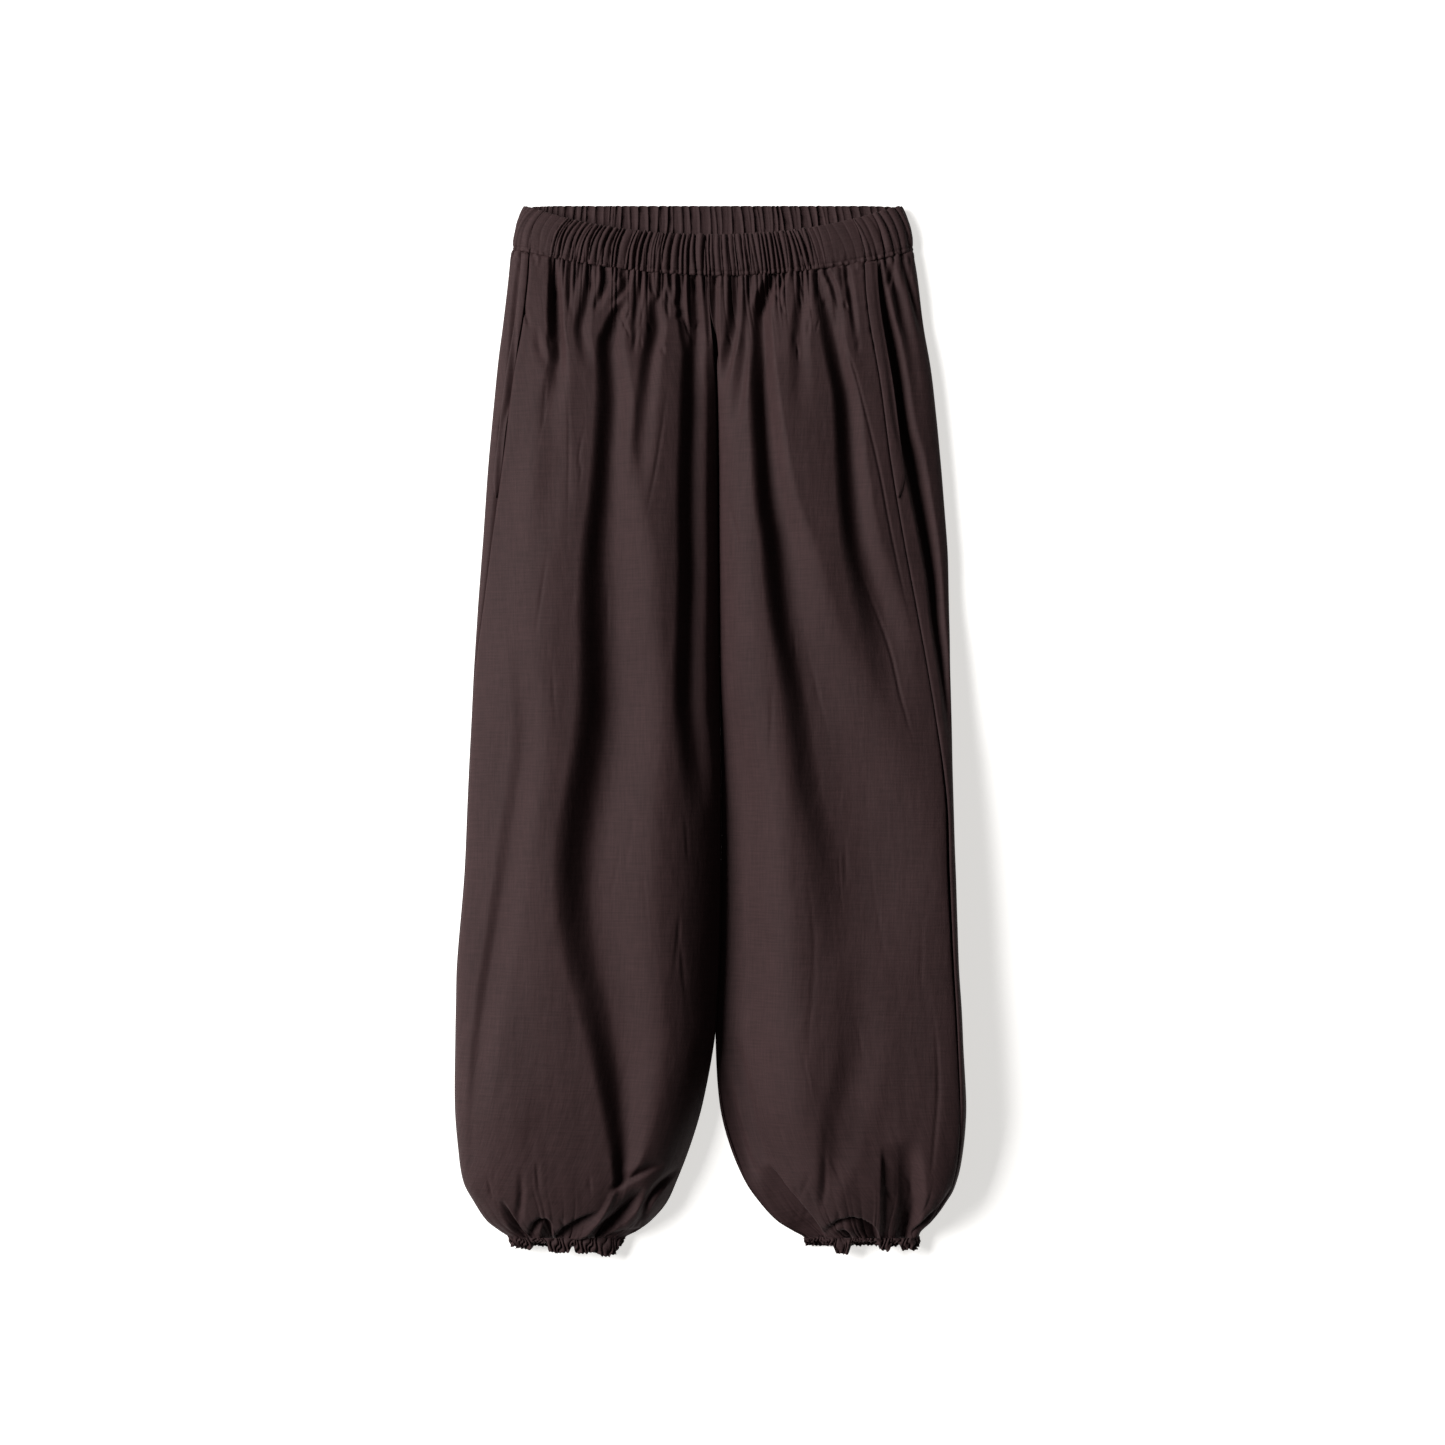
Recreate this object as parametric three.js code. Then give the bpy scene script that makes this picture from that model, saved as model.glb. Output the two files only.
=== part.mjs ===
import * as THREE from 'three';

// Pull-on balloon trousers lying flat on their back, in millimetres. X runs across the trousers, Y from the
// cuffs up to the waist, and Z up from the surface that they lie on. The origin is on that surface, under the
// middle of the outline. The wearer's right leg is at -X, because the front is uppermost.

// Driving dimensions
const CLOTH = 1.8; // wall of a leg panel
const BAND_CLOTH = 2.6; // waistband: two layers of cloth with the elastic between them
const CUFF_CLOTH = 1.8; // casing of the hem elastic
const SEAM_GAP = 0.3; // between neighbouring pieces
const WAIST_SEAM_Y = 430; // where the waistband meets the panels at the side of the trousers
const BAND_HEIGHT = 41;
const HEM_SEAM_Y = -457; // where the panels meet the cuff casing
const CASING_HEIGHT = 8;
const FRILL_DROP = 3; // hem edge below the casing
const SEAM_DIP = 23.5; // how far the front waist seam sags at the middle
const TOP_DIP = 27.5; // how far the front top edge sags at the middle
const DIP_FADE = 150; // length of leg over which the sag of the waist seam dies out
const CUFF_EASE = 14; // length of leg over which the walls turn square to the cuff
const SOFT_FROM = 290; // above this the front slopes gently down to the middle, fully so SOFT_OVER higher
const SOFT_OVER = 120;

// Gathers drawn up by the elastic
const BAND_GATHERS = { front: 44, back: 50 };
const BAND_WAVE = 0.9;
const FLAT_PATCH = { right: 20, left: 42 }; // plain stretch of the front band beside each side seam
const CUFF_GATHERS = 11; // in each half of a cuff
const CUFF_WAVE = 1.1;
const CASING_SWELL = 0.6; // how far the casing bulges over its elastic

// Pocket mouths in the side seams
const POCKET = { top: 418, bottom: 206, cloth: 1.1, lift: 0.5, inset: 0.06, columns: { right: 2, left: 1 } };

const BROWN = { panel: 0x3a2b2b, band: 0x3d2e2e, cuff: 0x352727, pocket: 0x402f2f };

// Stations of a leg, from the top of the waistband to the lower edge of the cuff. outer and inner are the
// edges of the outline, height the crown, side the height of the outer edge, valley the height of the front
// cloth at the inner edge, under the height of the back cloth there, seam the side seam, crest the place of
// the crown as a share from the inner edge to the outer one, and full how round the cloth is beyond it.
const STATION_COLUMNS = ['y', 'outer', 'inner', 'height', 'side', 'valley', 'under', 'seam', 'crest', 'full'];
const RIGHT_STATIONS = [
  [472, -166, -1, 17, 6, 17, 0, -148, 0.5, 1],
  [452, -173, -1, 18.5, 6.5, 18.5, 0, -158, 0.5, 1],
  [430, -177, -1, 20, 7, 20, 0, -161, 0.5, 1],
  [400, -181, 0, 25, 8, 19, 0, -163, 0.55, 1],
  [365, -185.5, 3.5, 30, 9, 15, 0, -167, 0.6, 0.8],
  [312, -192, 6.5, 35, 10, 11, 0, -176, 0.64, 0.6],
  [240, -198, 8, 40, 11, 9, 0, -185, 0.66, 0.5],
  [168, -203, 8.5, 43, 12, 8.5, 0.5, -195, 0.66, 0.5],
  [115, -207, 9, 46, 13, 8.5, 8.5, -202, 0.66, 0.5],
  [44, -211.5, 9.5, 49, 14, 10, 10, -211, 0.65, 0.5],
  [-60, -216.5, 10.5, 52, 15, 14, 14, -216, 0.64, 0.5],
  [-130, -219.5, 10.5, 54, 16, 15, 15, -219, 0.62, 0.5],
  [-210, -226, 9, 55, 17, 15, 15, -225.5, 0.58, 0.6],
  [-248, -227, 6, 55, 17, 15, 15, -226.5, 0.56, 0.7],
  [-278, -227.5, 3.5, 55, 18, 15, 15, -227, 0.55, 0.8],
  [-336, -228, -6, 54, 17, 14, 14, -227.5, 0.53, 1],
  [-372, -225.5, -16.5, 51, 16, 13, 13, -225, 0.5, 1],
  [-406, -220.5, -29.5, 45, 14, 12, 12, -220, 0.5, 1],
  [-426, -210, -39, 38, 12, 12, 12, -209, 0.5, 1],
  [-442, -199, -53, 30, 10, 10, 10, -198, 0.5, 1],
  [-451, -188, -65, 23, 8, 8, 8, -187, 0.5, 1],
  [-457, -180, -76, 18, 7, 7, 7, -179, 0.5, 1],
  [-472, -177, -80, 16, 6, 6, 6, -176, 0.5, 1],
];
const LEFT_STATIONS = [
  [472, 172, -1, 17, 6, 17, 0, 128, 0.5, 1],
  [452, 179, -1, 18.5, 6.5, 18.5, 0, 135, 0.5, 1],
  [430, 183, -1, 20, 7, 20, 0, 138.5, 0.5, 1],
  [400, 187.5, 0, 25, 8, 19, 0, 140, 0.45, 1],
  [365, 192, 3.5, 29, 9, 15, 0, 144, 0.38, 0.9],
  [312, 200, 6.5, 33, 10, 11, 0, 152.5, 0.26, 0.8],
  [240, 207.5, 8, 37, 11, 9, 0, 162, 0.22, 0.7],
  [168, 213, 8.5, 40, 12, 8.5, 0.5, 174, 0.2, 0.6],
  [115, 214.5, 9, 42, 13, 8.5, 8.5, 184, 0.21, 0.55],
  [44, 215.5, 9.5, 44, 22, 8, 8, 196.5, 0.25, 0.6],
  [-60, 217.5, 10.5, 46, 32, 8, 8, 212, 0.3, 0.85],
  [-130, 219, 10.5, 48, 37, 8, 8, 214.5, 0.32, 1],
  [-210, 222, 9, 51, 39, 8, 8, 218, 0.35, 1],
  [-248, 224.5, 6.2, 52, 40, 8, 8, 220, 0.37, 1],
  [-278, 226, 6, 53, 40, 8, 8, 221.5, 0.38, 1],
  [-336, 229, 9, 53, 38, 8, 8, 223.5, 0.4, 1],
  [-372, 226.5, 17.5, 50, 32, 8, 8, 222.5, 0.43, 1],
  [-406, 220.5, 32, 45, 22, 12, 12, 217, 0.46, 1],
  [-426, 211, 46, 38, 14, 12, 12, 208, 0.5, 1],
  [-442, 199, 61, 30, 10, 10, 10, 197, 0.5, 1],
  [-451, 190, 75, 23, 8, 8, 8, 189, 0.5, 1],
  [-457, 188, 85, 18, 7, 7, 7, 187, 0.5, 1],
  [-472, 187, 86, 16, 6, 6, 6, 186, 0.5, 1],
];

// Troughs that run down the front cloth. line is where the west slope is steepest, half its reach from the
// bottom of the trough, and west and east are the reach of the two slopes.
const FOLD_COLUMNS = ['y', 'line', 'depth', 'west', 'east'];
const RIGHT_FOLDS = {
  wedge: [
    [424, -141.5, 3, 5, 6], [400, -142, 8, 6, 8], [385, -142, 10, 7, 9], [367, -142, 11, 8, 9],
    [352, -141, 10, 9, 9], [335, -140, 8.5, 10, 10], [315, -142, 5.5, 12, 12], [285, -148, 3, 16, 18],
    [220, -150, 3, 20, 24], [150, -157, 0, 20, 24],
  ],
  longTrough: [
    [384, -80, 0, 6, 6], [372, -86, 5, 8, 9], [358, -91, 8, 12, 12], [345, -95, 9.5, 14, 14],
    [296, -94, 11, 17, 20], [242, -97, 12, 18, 24], [206, -99.5, 13, 20, 32], [170, -103, 15, 23, 44],
    [116, -105, 18, 27, 50], [26, -104, 21, 31, 54], [-19, -108.5, 20.5, 33, 58],
    [-64, -115.5, 20.5, 35, 60], [-109, -121, 19.5, 36, 62], [-154, -122, 18.5, 36, 62],
    [-199, -117, 16.5, 34, 58], [-244, -103, 14, 30, 52], [-289, -95, 14.5, 26, 44], [-334, -88, 13, 21, 34],
    [-370, -83, 11, 16, 22], [-397, -82, 8, 9, 10], [-412, -84, 0, 6, 6],
  ],
  middleTrough: [
    [388, -50, 0, 6, 6], [376, -52, 4, 9, 8], [358, -52, 6, 12, 9], [332, -57, 5.5, 12, 10],
    [296, -61.5, 4.5, 12, 12], [242, -68, 3, 13, 14], [196, -72, 0, 14, 14],
  ],
  innerTrough: [
    [412, -18, 2, 6, 6], [399, -17.5, 5, 9, 7], [358, -17.5, 7.5, 14, 9], [332, -19, 8, 15, 9],
    [296, -20, 8, 17, 10], [206, -22, 8, 18, 11], [134, -21.5, 8, 18, 11], [26, -24, 7, 20, 12],
    [-19, -20, 5, 20, 12], [-75, -16, 0, 20, 12],
  ],
  outerHollow: [
    [90, -178, 0, 10, 20], [0, -171, 2.5, 12, 24], [-100, -183, 3.5, 12, 26], [-172, -194, 4, 10, 26],
    [-244, -205, 3.5, 9, 24], [-334, -214, 2, 7, 20], [-390, -214, 0, 7, 16],
  ],
  hemSlit: [[-418, -185, 0, 4, 7], [-436, -179, 5, 4, 8], [-449, -171, 6, 4, 8], [-457, -164, 3, 4, 6]],
  hemCup: [[-434, -157, 0, 6, 12], [-446, -153, 7, 6, 12], [-457, -150, 4, 5, 10]],
  hemLeaf: [[-426, -105, 0, 12, 5], [-434, -112, 5, 14, 5], [-446, -128, 7, 12, 5], [-457, -140, 3, 8, 5]],
  hemDeep: [[-405, -62, 0, 8, 8], [-424, -72, 7, 10, 9], [-442, -88, 10, 12, 10], [-457, -110, 4, 8, 7]],
};
const LEFT_FOLDS = {
  nearTuck: [
    [417, 21, 2, 5, 6], [394, 19.5, 5, 8, 7], [372, 18.5, 6, 9, 7], [350, 16, 6, 9, 7], [331, 12, 5, 9, 7],
    [305, 7, 0, 8, 7],
  ],
  secondTuck: [
    [415, 34.5, 2, 5, 6], [385, 31, 4.5, 8, 7], [358, 27.5, 5.5, 9, 8], [341, 26.5, 5.5, 9, 8],
    [296, 21, 3.5, 10, 9], [262, 17, 0, 10, 9],
  ],
  longTrough: [
    [416, 57, 3, 6, 7], [399, 50, 7, 9, 9], [385, 44, 11, 11, 10], [372, 39.5, 13, 12, 12],
    [345, 38.5, 14, 13, 13], [314, 40, 15, 14, 15], [269, 42.5, 15.5, 16, 18], [206, 47, 16, 19, 24],
    [170, 53.5, 16, 21, 30], [98, 61.5, 15, 23, 46], [26, 75, 13, 27, 66], [-19, 80.5, 12, 29, 80],
    [-64, 87, 11, 34, 90], [-109, 97.5, 9, 38, 90], [-154, 103, 6, 40, 90], [-215, 110, 0, 40, 90],
  ],
  middleTuck: [
    [417, 79.5, 2, 6, 6], [385, 79, 4, 9, 8], [358, 76, 4, 10, 9], [320, 75, 2.5, 12, 12],
    [280, 75, 0, 12, 12],
  ],
  hipTrough: [
    [415, 91, 2, 7, 7], [386, 97.5, 5, 10, 9], [359, 103, 7.5, 14, 10], [323, 110, 9.5, 15, 10],
    [296, 115.5, 10.5, 16, 12], [224, 120, 10.5, 18, 15], [170, 124.5, 10, 20, 20], [98, 141, 7, 26, 26],
    [62, 147, 4, 26, 26], [15, 153, 0, 26, 26],
  ],
  outerShelf: [
    [20, 118, 0, 60, 200], [-50, 117, 3, 62, 200], [-118, 116, 5, 64, 200], [-180, 114, 4, 66, 200],
    [-244, 112, 3, 68, 200], [-320, 112, 2, 66, 180], [-390, 115, 0, 50, 120],
  ],
  lowerCrease: [
    [-200, 122, 0, 22, 24], [-250, 119, 2, 22, 26], [-300, 116, 3, 24, 30], [-350, 106, 3.5, 22, 30],
    [-400, 100, 3, 14, 20], [-432, 99, 0, 8, 10],
  ],
  hemPocket: [
    [-368, 158, 0, 6, 20], [-385, 155, 6, 7, 30], [-405, 153, 14, 8, 38], [-428, 154, 18, 9, 40],
    [-445, 156, 15, 9, 34], [-457, 158, 7, 8, 24],
  ],
  hemLeaf: [
    [-385, 42, 0, 16, 4], [-405, 56, 5, 20, 4], [-430, 76, 9, 22, 4], [-448, 88, 9, 18, 4],
    [-457, 96, 4, 12, 4],
  ],
  hemArc: [[-434, 130, 0, 12, 10], [-446, 134, 8, 14, 6], [-457, 138, 5, 10, 5]],
};

// Folds of the back cloth, where it wraps over the sides and shows beside the side seams.
const RIGHT_SIDE_FOLDS = {
  besideSeam: [
    [425, -170, 1, 4, 4], [380, -176, 2.5, 5, 4], [332, -179, 3.5, 6, 5], [296, -182, 3.5, 6, 5],
    [269, -188, 3, 5, 5], [215, -191, 2, 4, 4], [150, -199, 0, 4, 4],
  ],
};
const LEFT_SIDE_FOLDS = {
  besideSeam: [
    [425, 146, 3, 6, 6], [399, 149, 6, 7, 7], [372, 152.5, 9, 9, 9], [345, 157.5, 11, 10, 11],
    [314, 162, 12, 11, 12], [269, 168, 13, 11, 13], [242, 176, 13, 12, 12], [206, 184, 13, 12, 10],
    [170, 191, 12, 11, 9], [134, 197, 10, 10, 7], [98, 200, 8, 9, 7], [62, 205, 6, 8, 6],
    [26, 209, 3.5, 7, 5], [-10, 211, 0, 6, 4],
  ],
  secondTuck: [
    [420, 157, 2, 5, 5], [394, 164, 5, 7, 6], [367, 169.5, 5, 8, 7], [345, 175, 3.5, 8, 7],
    [300, 180, 2, 8, 8], [260, 184, 0, 8, 8],
  ],
  thirdTuck: [
    [420, 172, 2, 4, 4], [403, 176, 3, 5, 5], [381, 182, 3, 5, 5], [350, 189, 0, 5, 5],
  ],
};

// Stations along each panel, closer together where it curves, and columns across it
const PANEL_ROWS = [
  WAIST_SEAM_Y - SEAM_GAP / 2, 418, 406, 393, 379, 363, 345, 325, 304, 281, 257, 232, 206, 180, 157, 138, 118,
  90, 54, 14, -28, -70, -112, -154, -196, -236, -270, -302, -332, -358, -380, -398, -413, -425, -435, -443,
  -450, HEM_SEAM_Y + SEAM_GAP / 2,
];
const FRONT_COLUMNS = Array.from({ length: 25 }, (_, i) => i / 24);
// Columns of a back panel: shares of its strip over the side, of the round side under that, of the flat part
// on the floor, and of the rise at the inner edge
const BACK_COLUMNS = [
  ['strip', 0], ['strip', 0.2], ['strip', 0.4], ['strip', 0.6], ['strip', 0.8], ['strip', 1], ['round', 0.35],
  ['round', 0.7], ['round', 1], ['flat', 0.5], ['flat', 1], ['rise', 0.35], ['rise', 0.7], ['rise', 1],
];
const LEAST_STRIP = 16;
const LEAST_RISE = 18;
const QUARTER_ROUND = 1.9; // length of a rounded lower edge, in heights of it

const SECTION_STEPS = 64; // points over the top of a section, and again under it
const LOWER_LEG = { from: 60, over: 150 }; // the shoulders change from their upper form to their lower one
const NORMAL_STEP = 1.5; // reach of the differences that give the direction of the wall
const FOLD_START = 12; // a fold runs on this far above its first station
const FOOT_REACH = 1.4; // width of a rounded lower edge, in heights of it
const SAG_POWER = 8; // how late the sag dies out across the outer half of a leg

const UP = new THREE.Vector3(0, 0, 1);
const UPWARD = { from: 0.1, over: 0.5 }; // folds start where the wall faces up by more than this

const lerp = (a, b, t) => a + (b - a) * t;
const clamp01 = (t) => Math.min(1, Math.max(0, t));
const smooth = (t) => clamp01(t) ** 2 * (3 - 2 * clamp01(t));

// A smooth curve through a table's rows, by their first column. Returns the row at y as named values.
function sampler(columns, table) {
  const rows = table.slice().sort((a, b) => a[0] - b[0]);
  const slope = (i, k) => {
    const low = Math.max(0, i - 1);
    const high = Math.min(rows.length - 1, i + 1);
    return (rows[high][k] - rows[low][k]) / (rows[high][0] - rows[low][0]);
  };
  return (at) => {
    const y = Math.min(rows[rows.length - 1][0], Math.max(rows[0][0], at));
    let i = 0;
    while (i < rows.length - 2 && rows[i + 1][0] < y) i += 1;
    const span = rows[i + 1][0] - rows[i][0];
    const t = (y - rows[i][0]) / span;
    const row = { y };
    for (let k = 1; k < columns.length; k += 1) {
      const a = rows[i][k];
      const b = rows[i + 1][k];
      const rise = t * t * (3 - 2 * t);
      const entry = t * (1 - t) ** 2 * span * slope(i, k);
      const exit = t * t * (t - 1) * span * slope(i + 1, k);
      row[columns[k]] = a + (b - a) * rise + entry + exit;
    }
    return row;
  };
}

// 1 at the middle of a rounded slope, 0 at a reach of 1 from it
const cosineFall = (off) => (Math.abs(off) < 1 ? 0.5 + 0.5 * Math.cos(Math.PI * off) : 0);

// Depth of a set of folds at a place in plan: each has a rounded profile across and runs out at its ends.
function foldField(folds) {
  const lines = Object.values(folds).map((rows) => ({
    top: rows[0][0] + FOLD_START,
    end: rows[rows.length - 1][0],
    at: sampler(FOLD_COLUMNS, rows),
  }));
  return (x, y) => {
    let depth = 0;
    for (const line of lines) {
      if (y > line.top || y < line.end) continue;
      const fold = line.at(y);
      const off = x - fold.line - fold.west / 2;
      depth += fold.depth * cosineFall(off / (off < 0 ? fold.west : fold.east));
    }
    return depth;
  };
}

// Sag of the front waist seam and of the front top edge below the back ones: each is deepest at its middle
// and gone at its reach from there.
const SEAM_SAG = { middle: 10, reach: 185, power: 1.8 };
const TOP_SAG = { middle: 2, reach: 172, power: 2.2 };
const sag = (x, { middle, reach, power }) => 1 - Math.min(1, Math.abs(x - middle) / reach) ** power;

function dip(x, y) {
  const seam = SEAM_DIP * sag(x, SEAM_SAG);
  if (y < WAIST_SEAM_Y) return seam * smooth(1 - (WAIST_SEAM_Y - y) / DIP_FADE);
  return lerp(seam, TOP_DIP * sag(x, TOP_SAG), clamp01((y - WAIST_SEAM_Y) / BAND_HEIGHT));
}

// A leg is a flattened ring at every station: over the top from the inner edge to the outer one, then under.
// innerPower and outerPower set how square its two shoulders are, and innerFall how steeply the inner one
// ends. The last two are pairs: for the upper leg and for the lower one.
class Leg {
  constructor({ hand, stations, innerPower, innerFall, outerPower, folds, sideFolds }) {
    Object.assign(this, { hand, innerPower, innerFall, outerPower });
    this.stationAt = sampler(STATION_COLUMNS, stations);
    this.frontDepth = foldField(folds);
    this.sideDepth = foldField(sideFolds);
    this.sections = new Map();
  }

  section(y) {
    if (!this.sections.has(y)) this.sections.set(y, this.makeSection(y));
    return this.sections.get(y);
  }

  // The cloth over the top at a share of the way across: its height, and how much of the waist's sag it takes
  over(s, across, softness) {
    const lower = smooth((LOWER_LEG.from - s.y) / LOWER_LEG.over);
    if (across < s.crest) {
      const off = 1 - across / s.crest;
      const round = Math.max(0, 1 - off ** this.innerPower) ** lerp(...this.innerFall, lower);
      return { z: lerp(s.valley, s.height, lerp(round, cosineFall(off), softness)), sag: 1 };
    }
    const off = (across - s.crest) / (1 - s.crest);
    const round = Math.sqrt(Math.max(0, 1 - off ** lerp(...this.outerPower, lower)));
    return { z: lerp(s.side, s.height, lerp(cosineFall(off), round, s.full)), sag: 1 - off ** SAG_POWER };
  }

  makeSection(y) {
    const s = this.stationAt(y);
    const inner = s.inner + (this.hand * SEAM_GAP) / 2;
    const width = Math.abs(s.outer - inner);
    const under = Math.min(s.under, s.valley);
    const softness = smooth((y - SOFT_FROM) / SOFT_OVER);
    const points = [];
    for (let i = 0; i <= SECTION_STEPS; i += 1) {
      const across = (1 - Math.cos((Math.PI * i) / SECTION_STEPS)) / 2;
      points.push({ x: lerp(inner, s.outer, across), ...this.over(s, across, softness) });
    }
    for (let i = 1; i <= SECTION_STEPS; i += 1) {
      const across = (1 + Math.cos((Math.PI * i) / SECTION_STEPS)) / 2;
      const z = footHeight(width * (1 - across), s.side) + footHeight(width * across, under);
      points.push({ x: lerp(inner, s.outer, across), z, sag: 0 });
    }
    let run = 0;
    points.forEach((p, i) => {
      if (i > 0) run += Math.hypot(p.x - points[i - 1].x, p.z - points[i - 1].z);
      p.run = run;
    });
    const seam = this.seamRun(points.slice(SECTION_STEPS / 2, SECTION_STEPS + 1), s.seam);
    const edge = points[SECTION_STEPS].run;
    const edgeGap = (clamp01(s.under / s.valley) * SEAM_GAP) / 2;
    const strip = Math.max(edge, seam + LEAST_STRIP);
    const round = Math.max(edge + QUARTER_ROUND * s.side, strip + LEAST_STRIP / 2);
    const flat = run - Math.max(QUARTER_ROUND * under, LEAST_RISE);
    const upright = { front: 1 - softness, back: smooth(under / 2) };
    return { points, seam, strip, round, flat, end: run, edgeGap, upright };
  }

  // Distance along the ring at which its outer half reaches the side seam
  seamRun(outerHalf, seamX) {
    const past = Math.max(1, outerHalf.findIndex((p) => this.hand * (p.x - seamX) >= 0));
    const [a, b] = [outerHalf[past - 1], outerHalf[past]];
    return lerp(a.run, b.run, clamp01((seamX - a.x) / (b.x - a.x)));
  }

  // The point at a distance along the ring from its inner edge
  point(y, run) {
    const { points, end } = this.section(y);
    const at = Math.min(end, Math.max(0, run));
    let low = 0;
    let high = points.length - 1;
    while (high - low > 1) {
      const middle = (low + high) >> 1;
      if (points[middle].run <= at) low = middle;
      else high = middle;
    }
    const a = points[low];
    const b = points[high];
    const t = (at - a.run) / (b.run - a.run);
    const x = lerp(a.x, b.x, t);
    return new THREE.Vector3(x, y - dip(x, y) * lerp(a.sag, b.sag, t), lerp(a.z, b.z, t));
  }

  // The direction out of the cloth. At the inner edge, where two pieces meet, the ring stands upright, and
  // at the cuff the direction keeps to the plane of the ring.
  normal(y, run) {
    const { end, upright } = this.section(y);
    const along = this.point(y + NORMAL_STEP, run).sub(this.point(y - NORMAL_STEP, run));
    const across = this.point(y, run + NORMAL_STEP).sub(this.point(y, run - NORMAL_STEP)).normalize();
    if (run < SEAM_GAP) across.lerp(UP, upright.front);
    if (end - run < SEAM_GAP) across.lerp(UP, upright.back);
    const normal = across.cross(along).multiplyScalar(this.hand).normalize();
    normal.y *= clamp01((y - HEM_SEAM_Y) / CUFF_EASE);
    return normal.normalize();
  }

  // How far the cloth's outer face stands off the plain ring: folds press it in where it faces up
  relief(point, normal, depth) {
    return -depth(point.x, point.y) * smooth((normal.z - UPWARD.from) / UPWARD.over);
  }
}

// Height of the rounded lower edge at a distance in from the outline; it is flat on the floor beyond it
function footHeight(inwards, rise) {
  const reach = FOOT_REACH * rise;
  return inwards >= reach ? 0 : rise * (1 - Math.sqrt(1 - (1 - inwards / reach) ** 2));
}

// A closed wall between an outer and an inner grid of points, rows by columns
function wallGeometry(outer, inner) {
  const rows = outer.length;
  const columns = outer[0].length;
  const last = columns - 1;
  const vertices = [...outer.flat(), ...inner.flat()];
  const index = [];
  const id = (side, i, j) => side * rows * columns + i * columns + j;
  const quad = (a, b, c, d) => index.push(a, b, c, a, c, d);
  for (let i = 0; i < rows - 1; i += 1) {
    for (let j = 0; j < last; j += 1) {
      quad(id(0, i, j), id(0, i + 1, j), id(0, i + 1, j + 1), id(0, i, j + 1));
      quad(id(1, i, j), id(1, i, j + 1), id(1, i + 1, j + 1), id(1, i + 1, j));
    }
    quad(id(0, i, 0), id(1, i, 0), id(1, i + 1, 0), id(0, i + 1, 0));
    quad(id(0, i, last), id(0, i + 1, last), id(1, i + 1, last), id(1, i, last));
  }
  for (let j = 0; j < last; j += 1) {
    quad(id(0, 0, j), id(0, 0, j + 1), id(1, 0, j + 1), id(1, 0, j));
    quad(id(0, rows - 1, j), id(1, rows - 1, j), id(1, rows - 1, j + 1), id(0, rows - 1, j + 1));
  }
  const geometry = new THREE.BufferGeometry();
  const numbers = vertices.flatMap((v) => v.toArray());
  geometry.setAttribute('position', new THREE.Float32BufferAttribute(numbers, 3));
  geometry.setIndex(volume(vertices, index) < 0 ? flipped(index) : index);
  geometry.computeVertexNormals();
  return geometry;
}

function volume(vertices, index) {
  let six = 0;
  for (let k = 0; k < index.length; k += 3) {
    const [a, b, c] = [vertices[index[k]], vertices[index[k + 1]], vertices[index[k + 2]]];
    six += a.dot(new THREE.Vector3().crossVectors(b, c));
  }
  return six / 6;
}

function flipped(index) {
  const turned = [];
  for (let k = 0; k < index.length; k += 3) turned.push(index[k], index[k + 2], index[k + 1]);
  return turned;
}

function piece(name, colour, outer, inner) {
  const material = new THREE.MeshStandardMaterial({ color: colour, roughness: 0.85, metalness: 0 });
  const mesh = new THREE.Mesh(wallGeometry(outer, inner), material);
  mesh.name = name;
  return mesh;
}

// A wall over stations and places on the rings. place(y, j) gives the leg and the distance of column j, and
// stand(y, j, point, normal) how far the outer face stands off the ring.
function clothWall(name, colour, thickness, ys, columns, place, stand) {
  const outer = [];
  const inner = [];
  for (const y of ys) {
    const outerRow = [];
    const innerRow = [];
    for (let j = 0; j < columns; j += 1) {
      const { leg, run } = place(y, j);
      const point = leg.point(y, run);
      const normal = leg.normal(y, run);
      const off = stand(y, j, point, normal);
      outerRow.push(point.clone().addScaledVector(normal, off));
      innerRow.push(point.clone().addScaledVector(normal, off - thickness));
    }
    outer.push(outerRow);
    inner.push(innerRow);
  }
  return piece(name, colour, outer, inner);
}

function frontPanel(leg, name) {
  const place = (y, j) => {
    const { seam, edgeGap } = leg.section(y);
    return { leg, run: lerp(edgeGap, seam - SEAM_GAP / 2, FRONT_COLUMNS[j]) };
  };
  const stand = (y, j, point, normal) => leg.relief(point, normal, leg.frontDepth);
  return clothWall(name, BROWN.panel, CLOTH, PANEL_ROWS, FRONT_COLUMNS.length, place, stand);
}

function backRun(leg, y, column) {
  const { seam, strip, round, flat, end, edgeGap } = leg.section(y);
  const [part, share] = BACK_COLUMNS[column];
  const spans = {
    strip: [seam + SEAM_GAP / 2, strip],
    round: [strip, round],
    flat: [round, flat],
    rise: [flat, end - edgeGap],
  };
  return lerp(...spans[part], share);
}

function backPanel(leg, name) {
  const place = (y, j) => ({ leg, run: backRun(leg, y, j) });
  const stand = (y, j, point, normal) => leg.relief(point, normal, leg.sideDepth);
  return clothWall(name, BROWN.panel, CLOTH, PANEL_ROWS, BACK_COLUMNS.length, place, stand);
}

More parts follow.
